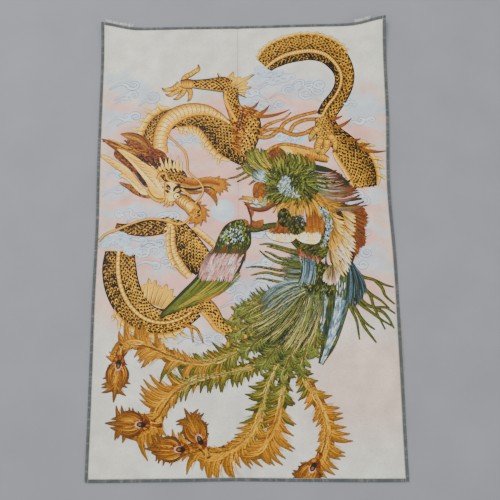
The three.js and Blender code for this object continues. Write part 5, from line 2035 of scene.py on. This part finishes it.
@dataclass
class Overlock:
    """Thread sewn over the raw edge: looped strands on both faces, a base band and a needle line."""

    loom: Loom
    pitch: float = 3.1
    width: float = 6.2
    thread: float = 0.42
    band: float = 0.24
    end_gap: float = 0.4

    def place(self, side: Side, along: float, inward: float) -> Point:
        """A point of the flat cut, from the distance along a side and in from its edge."""
        lie = self.loom.lie
        if side in (Side.LEFT, Side.RIGHT):
            sign = -1 if side is Side.LEFT else 1
            return (sign * (lie.half_width - inward), along)
        sign = 1 if side is Side.TOP else -1
        return (along, sign * (lie.half_length - inward))

    def build(self) -> None:
        """Sew all four sides."""
        lie = self.loom.lie
        for side in Side:
            if side in (Side.LEFT, Side.RIGHT):
                half, nodes = lie.half_length, [f"edging_{side.value}"]
            else:
                half = lie.half_width - self.width - self.end_gap
                nodes = [f"edging_{side.value}_{k}" for k in ("left", "right")]
            self.sew(side, self.end_gap - half, half - self.end_gap, nodes)

    def sew(self, side: Side, start: float, stop: float, nodes: Sequence[str]) -> None:
        """Sew one side.

        Args:
            side: which side.
            start: distance along it where the edging starts.
            stop: distance where it ends.
            nodes: CAD nodes that it stands for.
        """
        rng = random.Random(side.value)
        threads = Threads()
        self.base(side, start, stop, threads)
        count = int((stop - start) / self.pitch)
        p, w = self.pitch, self.width
        for k in range(count):
            s = start + (k + 0.5) * (stop - start) / count
            dye = blend(Dye.THREAD, rng.choice([Dye.THREAD_DARK, Dye.IVORY, Dye.THREAD]), rng.uniform(0, 0.3))
            wob = rng.uniform(-0.2, 0.2)
            over = [(s - 0.5 * p, w + wob, 1.86), (s - 0.3 * p, 4.0, 2.0), (s - 0.1 * p, 1.4, 1.95), (s, 0.25, 1.6),
                    (s, 0.0, 1.1), (s, 0.3, 0.55), (s + 0.05 * p, 2.6, 0.42), (s + 0.15 * p, w, 0.42)]
            back = [(s + 0.5 * p, w + wob, 1.86), (s + 0.32 * p, 4.0, 1.9), (s + 0.14 * p, 1.6, 1.84),
                    (s + 0.04 * p, 0.6, 1.7)]
            loop = [(s - 0.55 * p, w + 0.2, 1.95), (s - 0.1 * p, w + 0.75, 2.02), (s + 0.4 * p, w + 0.2, 1.9)]
            for path, share in ((over, 1.0), (back, 0.9), (loop, 0.8)):
                line = [(*self.place(side, along, inward), level) for along, inward, level in path]
                threads.add(line, self.thread * share, dye)
        flat = np.array(threads.points)
        laid = self.loom.lie.place(*flat.T)
        crosses, off = side in (Side.TOP, Side.BOTTOM), flat[:, 0] - self.loom.lie.fold_x
        threads.piece(self.loom, f"overlock_{side.value}", laid, nodes, crosses, off.mean())

    def base(self, side: Side, start: float, stop: float, threads: Threads) -> None:
        """A thin band of packed thread under the loops, wrapped round the raw edge.

        Args:
            side: which side.
            start: distance along it where the band starts.
            stop: distance where it ends.
            threads: where the band is added, before any loop.
        """
        w, t = self.width - self.end_gap, self.band
        section = [(w, 1.55), (0.45, 1.55), (0.3, 1.1), (0.45, 0.65), (w, 0.65), (w, 0.65 - t), (0.3, 0.65 - t),
                   (0.05, 1.1), (0.3, 1.55 + t), (w, 1.55 + t)]
        n = len(section)
        stations = set(np.linspace(start, stop, int((stop - start) / 6) + 1).tolist())
        if side in (Side.TOP, Side.BOTTOM):
            stations |= {self.loom.lie.fold_x + c for c in self.loom.cuts}
        rows = sorted(stations)
        for s in rows:
            for k, (inward, level) in enumerate(section):
                threads.points.append((*self.place(side, s, inward), level))
                threads.marks.append((s, k / n * 3, 0))
                threads.dyes.append(Dye.THREAD_DARK.rgb)
        for r in range(len(rows) - 1):
            for k in range(n):
                a, b = r * n + k, r * n + (k + 1) % n
                turned = side in (Side.RIGHT, Side.BOTTOM)
                threads.faces.append((a, b, b + n, a + n) if turned else (b, a, a + n, b + n))
        for first, turn in ((0, 1), ((len(rows) - 1) * n, -1)):
            for q in ((0, 1, 8, 9), (1, 2, 7, 8), (2, 3, 6, 7), (3, 4, 5, 6)):
                threads.faces.append(tuple(first + i for i in q[::turn]))


@dataclass
class FrayedEnds:
    """Loose warp ends at the top corners and cut weft ends along the right edge."""

    loom: Loom
    thread: float = 0.28
    level: float = 1.2
    root_in: float = 1.5
    held_to: float = 299.0

    def build(self) -> None:
        """Make the loose ends of each place."""
        lie = self.loom.lie
        top, right = lie.half_length, lie.half_width - self.root_in
        white = [[(x + 3.2 * k, top - self.root_in) for k in range(n)] for x, n in ((-288, 17), (237, 10))]
        for name, side, dye, roots, upward in (
            ("frayed_ends_left", -1, Dye.WHITE, white[0], True),
            ("frayed_ends_right", 1, Dye.WHITE, white[1], True),
            ("frayed_weft_ends", 1, Dye.AMBER, [(right, -166 - 11 * k) for k in range(9)], False),
        ):
            rng = random.Random(name)
            threads = Threads()
            for x, y in roots:
                for _ in range(3):
                    reach = rng.uniform(5, 9.5) if upward else rng.uniform(2.5, 5)
                    lean = rng.uniform(-5, 5)
                    rise = rng.uniform(0.5, 3.0)
                    line = []
                    for t in np.linspace(0, 1, 7):
                        out, bow = reach * t, lean * t * t
                        px, py = (x + bow, y + out) if upward else (x + out, y + bow)
                        line.append((px, py, self.level + rise * math.sin(math.pi * t) + 0.4 * t))
                    threads.add(line, self.thread, blend(dye, Dye.WHITE, rng.random() * 0.4))
            x, y, level = np.array(threads.points).T
            held = np.clip(x, -self.held_to, self.held_to)
            laid = lie.place(held, np.minimum(y, top), level)
            laid[:, 0] += (x - held) * MM
            laid[:, 1] += np.maximum(0, y - top) * MM
            threads.piece(self.loom, name, laid, [], False, side)


# ---- floor, light and camera


@dataclass
class Studio:
    """A plain pale floor, soft light and the camera over the panel."""

    eye: tuple[float, float, float] = (0.0261, -0.1587, 0.9039)
    view: tuple[float, float, float] = (-0.0163, 0.1427, -0.9896)
    up: tuple[float, float, float] = (0.0112, 0.9897, 0.1425)
    lens: float = 33.12

    def build(self) -> None:
        """Set up the floor, the lights and the camera."""
        self.floor()
        self.lights()
        self.camera()

    def floor(self) -> None:
        """A large plain floor, faintly mottled."""
        mesh = bpy.data.meshes.new("floor")
        mesh.from_pydata([(-4, -4, -0.0002), (4, -4, -0.0002), (4, 4, -0.0002), (-4, 4, -0.0002)], [], [(0, 1, 2, 3)])
        floor = bpy.data.objects.new("floor", mesh)
        bpy.context.scene.collection.objects.link(floor)
        w = Wiring.material("pale_floor")
        place = w.node("ShaderNodeTexCoord").outputs["Object"]
        noise = w.node("ShaderNodeTexNoise", {"Vector": place, "Scale": 9.0, "Detail": 5.0})
        colour = w.mix(noise.outputs[0], (0.215, 0.217, 0.23, 1), (0.28, 0.282, 0.295, 1))
        mesh.materials.append(w.finish(Base_Color=colour, Roughness=0.9))

    def lights(self) -> None:
        """A broad soft key from the upper left, a fill and an even sky."""
        world = bpy.data.worlds.new("soft_sky")
        world.use_nodes = True
        world.node_tree.nodes["Background"].inputs[0].default_value = (0.92, 0.95, 1.0, 1)
        world.node_tree.nodes["Background"].inputs[1].default_value = 0.84
        bpy.context.scene.world = world
        for name, place, size, power in (("key", (-1.1, 1.0, 2.3), 1.4, 54), ("fill", (1.6, -0.9, 2.1), 2.0, 20)):
            lamp = bpy.data.lights.new(name, "AREA")
            lamp.energy = power
            lamp.size = size
            made = bpy.data.objects.new(name, lamp)
            bpy.context.scene.collection.objects.link(made)
            made.location = place
            made.rotation_euler = (-Vector(place)).to_track_quat("-Z", "Y").to_euler()

    def camera(self) -> None:
        """The camera, looking down at the panel."""
        data = bpy.data.cameras.new("camera")
        data.lens = self.lens
        data.sensor_width = 36.0
        made = bpy.data.objects.new("camera", data)
        bpy.context.scene.collection.objects.link(made)
        back = -Vector(self.view).normalized()
        right = Vector(self.up).cross(back).normalized()
        up = back.cross(right)
        turn = Matrix((right, up, back)).transposed().to_4x4()
        made.matrix_world = Matrix.Translation(self.eye) @ turn
        bpy.context.scene.camera = made


def main() -> None:
    """Build the panel's classes in order."""
    logging.basicConfig(level=logging.INFO, format="%(message)s")
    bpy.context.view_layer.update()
    loom = Loom(Wardrobe())
    Studio().build()
    sky, dragon, phoenix = Sky(loom), Dragon(loom), Phoenix(loom)
    for figure in (sky, dragon, phoenix):
        figure.build()
    GroundCloth(loom, sky, figures=sky.woven + dragon.woven + phoenix.woven).build()
    Overlock(loom).build()
    FrayedEnds(loom).build()


if __name__ == "__main__":
    main()
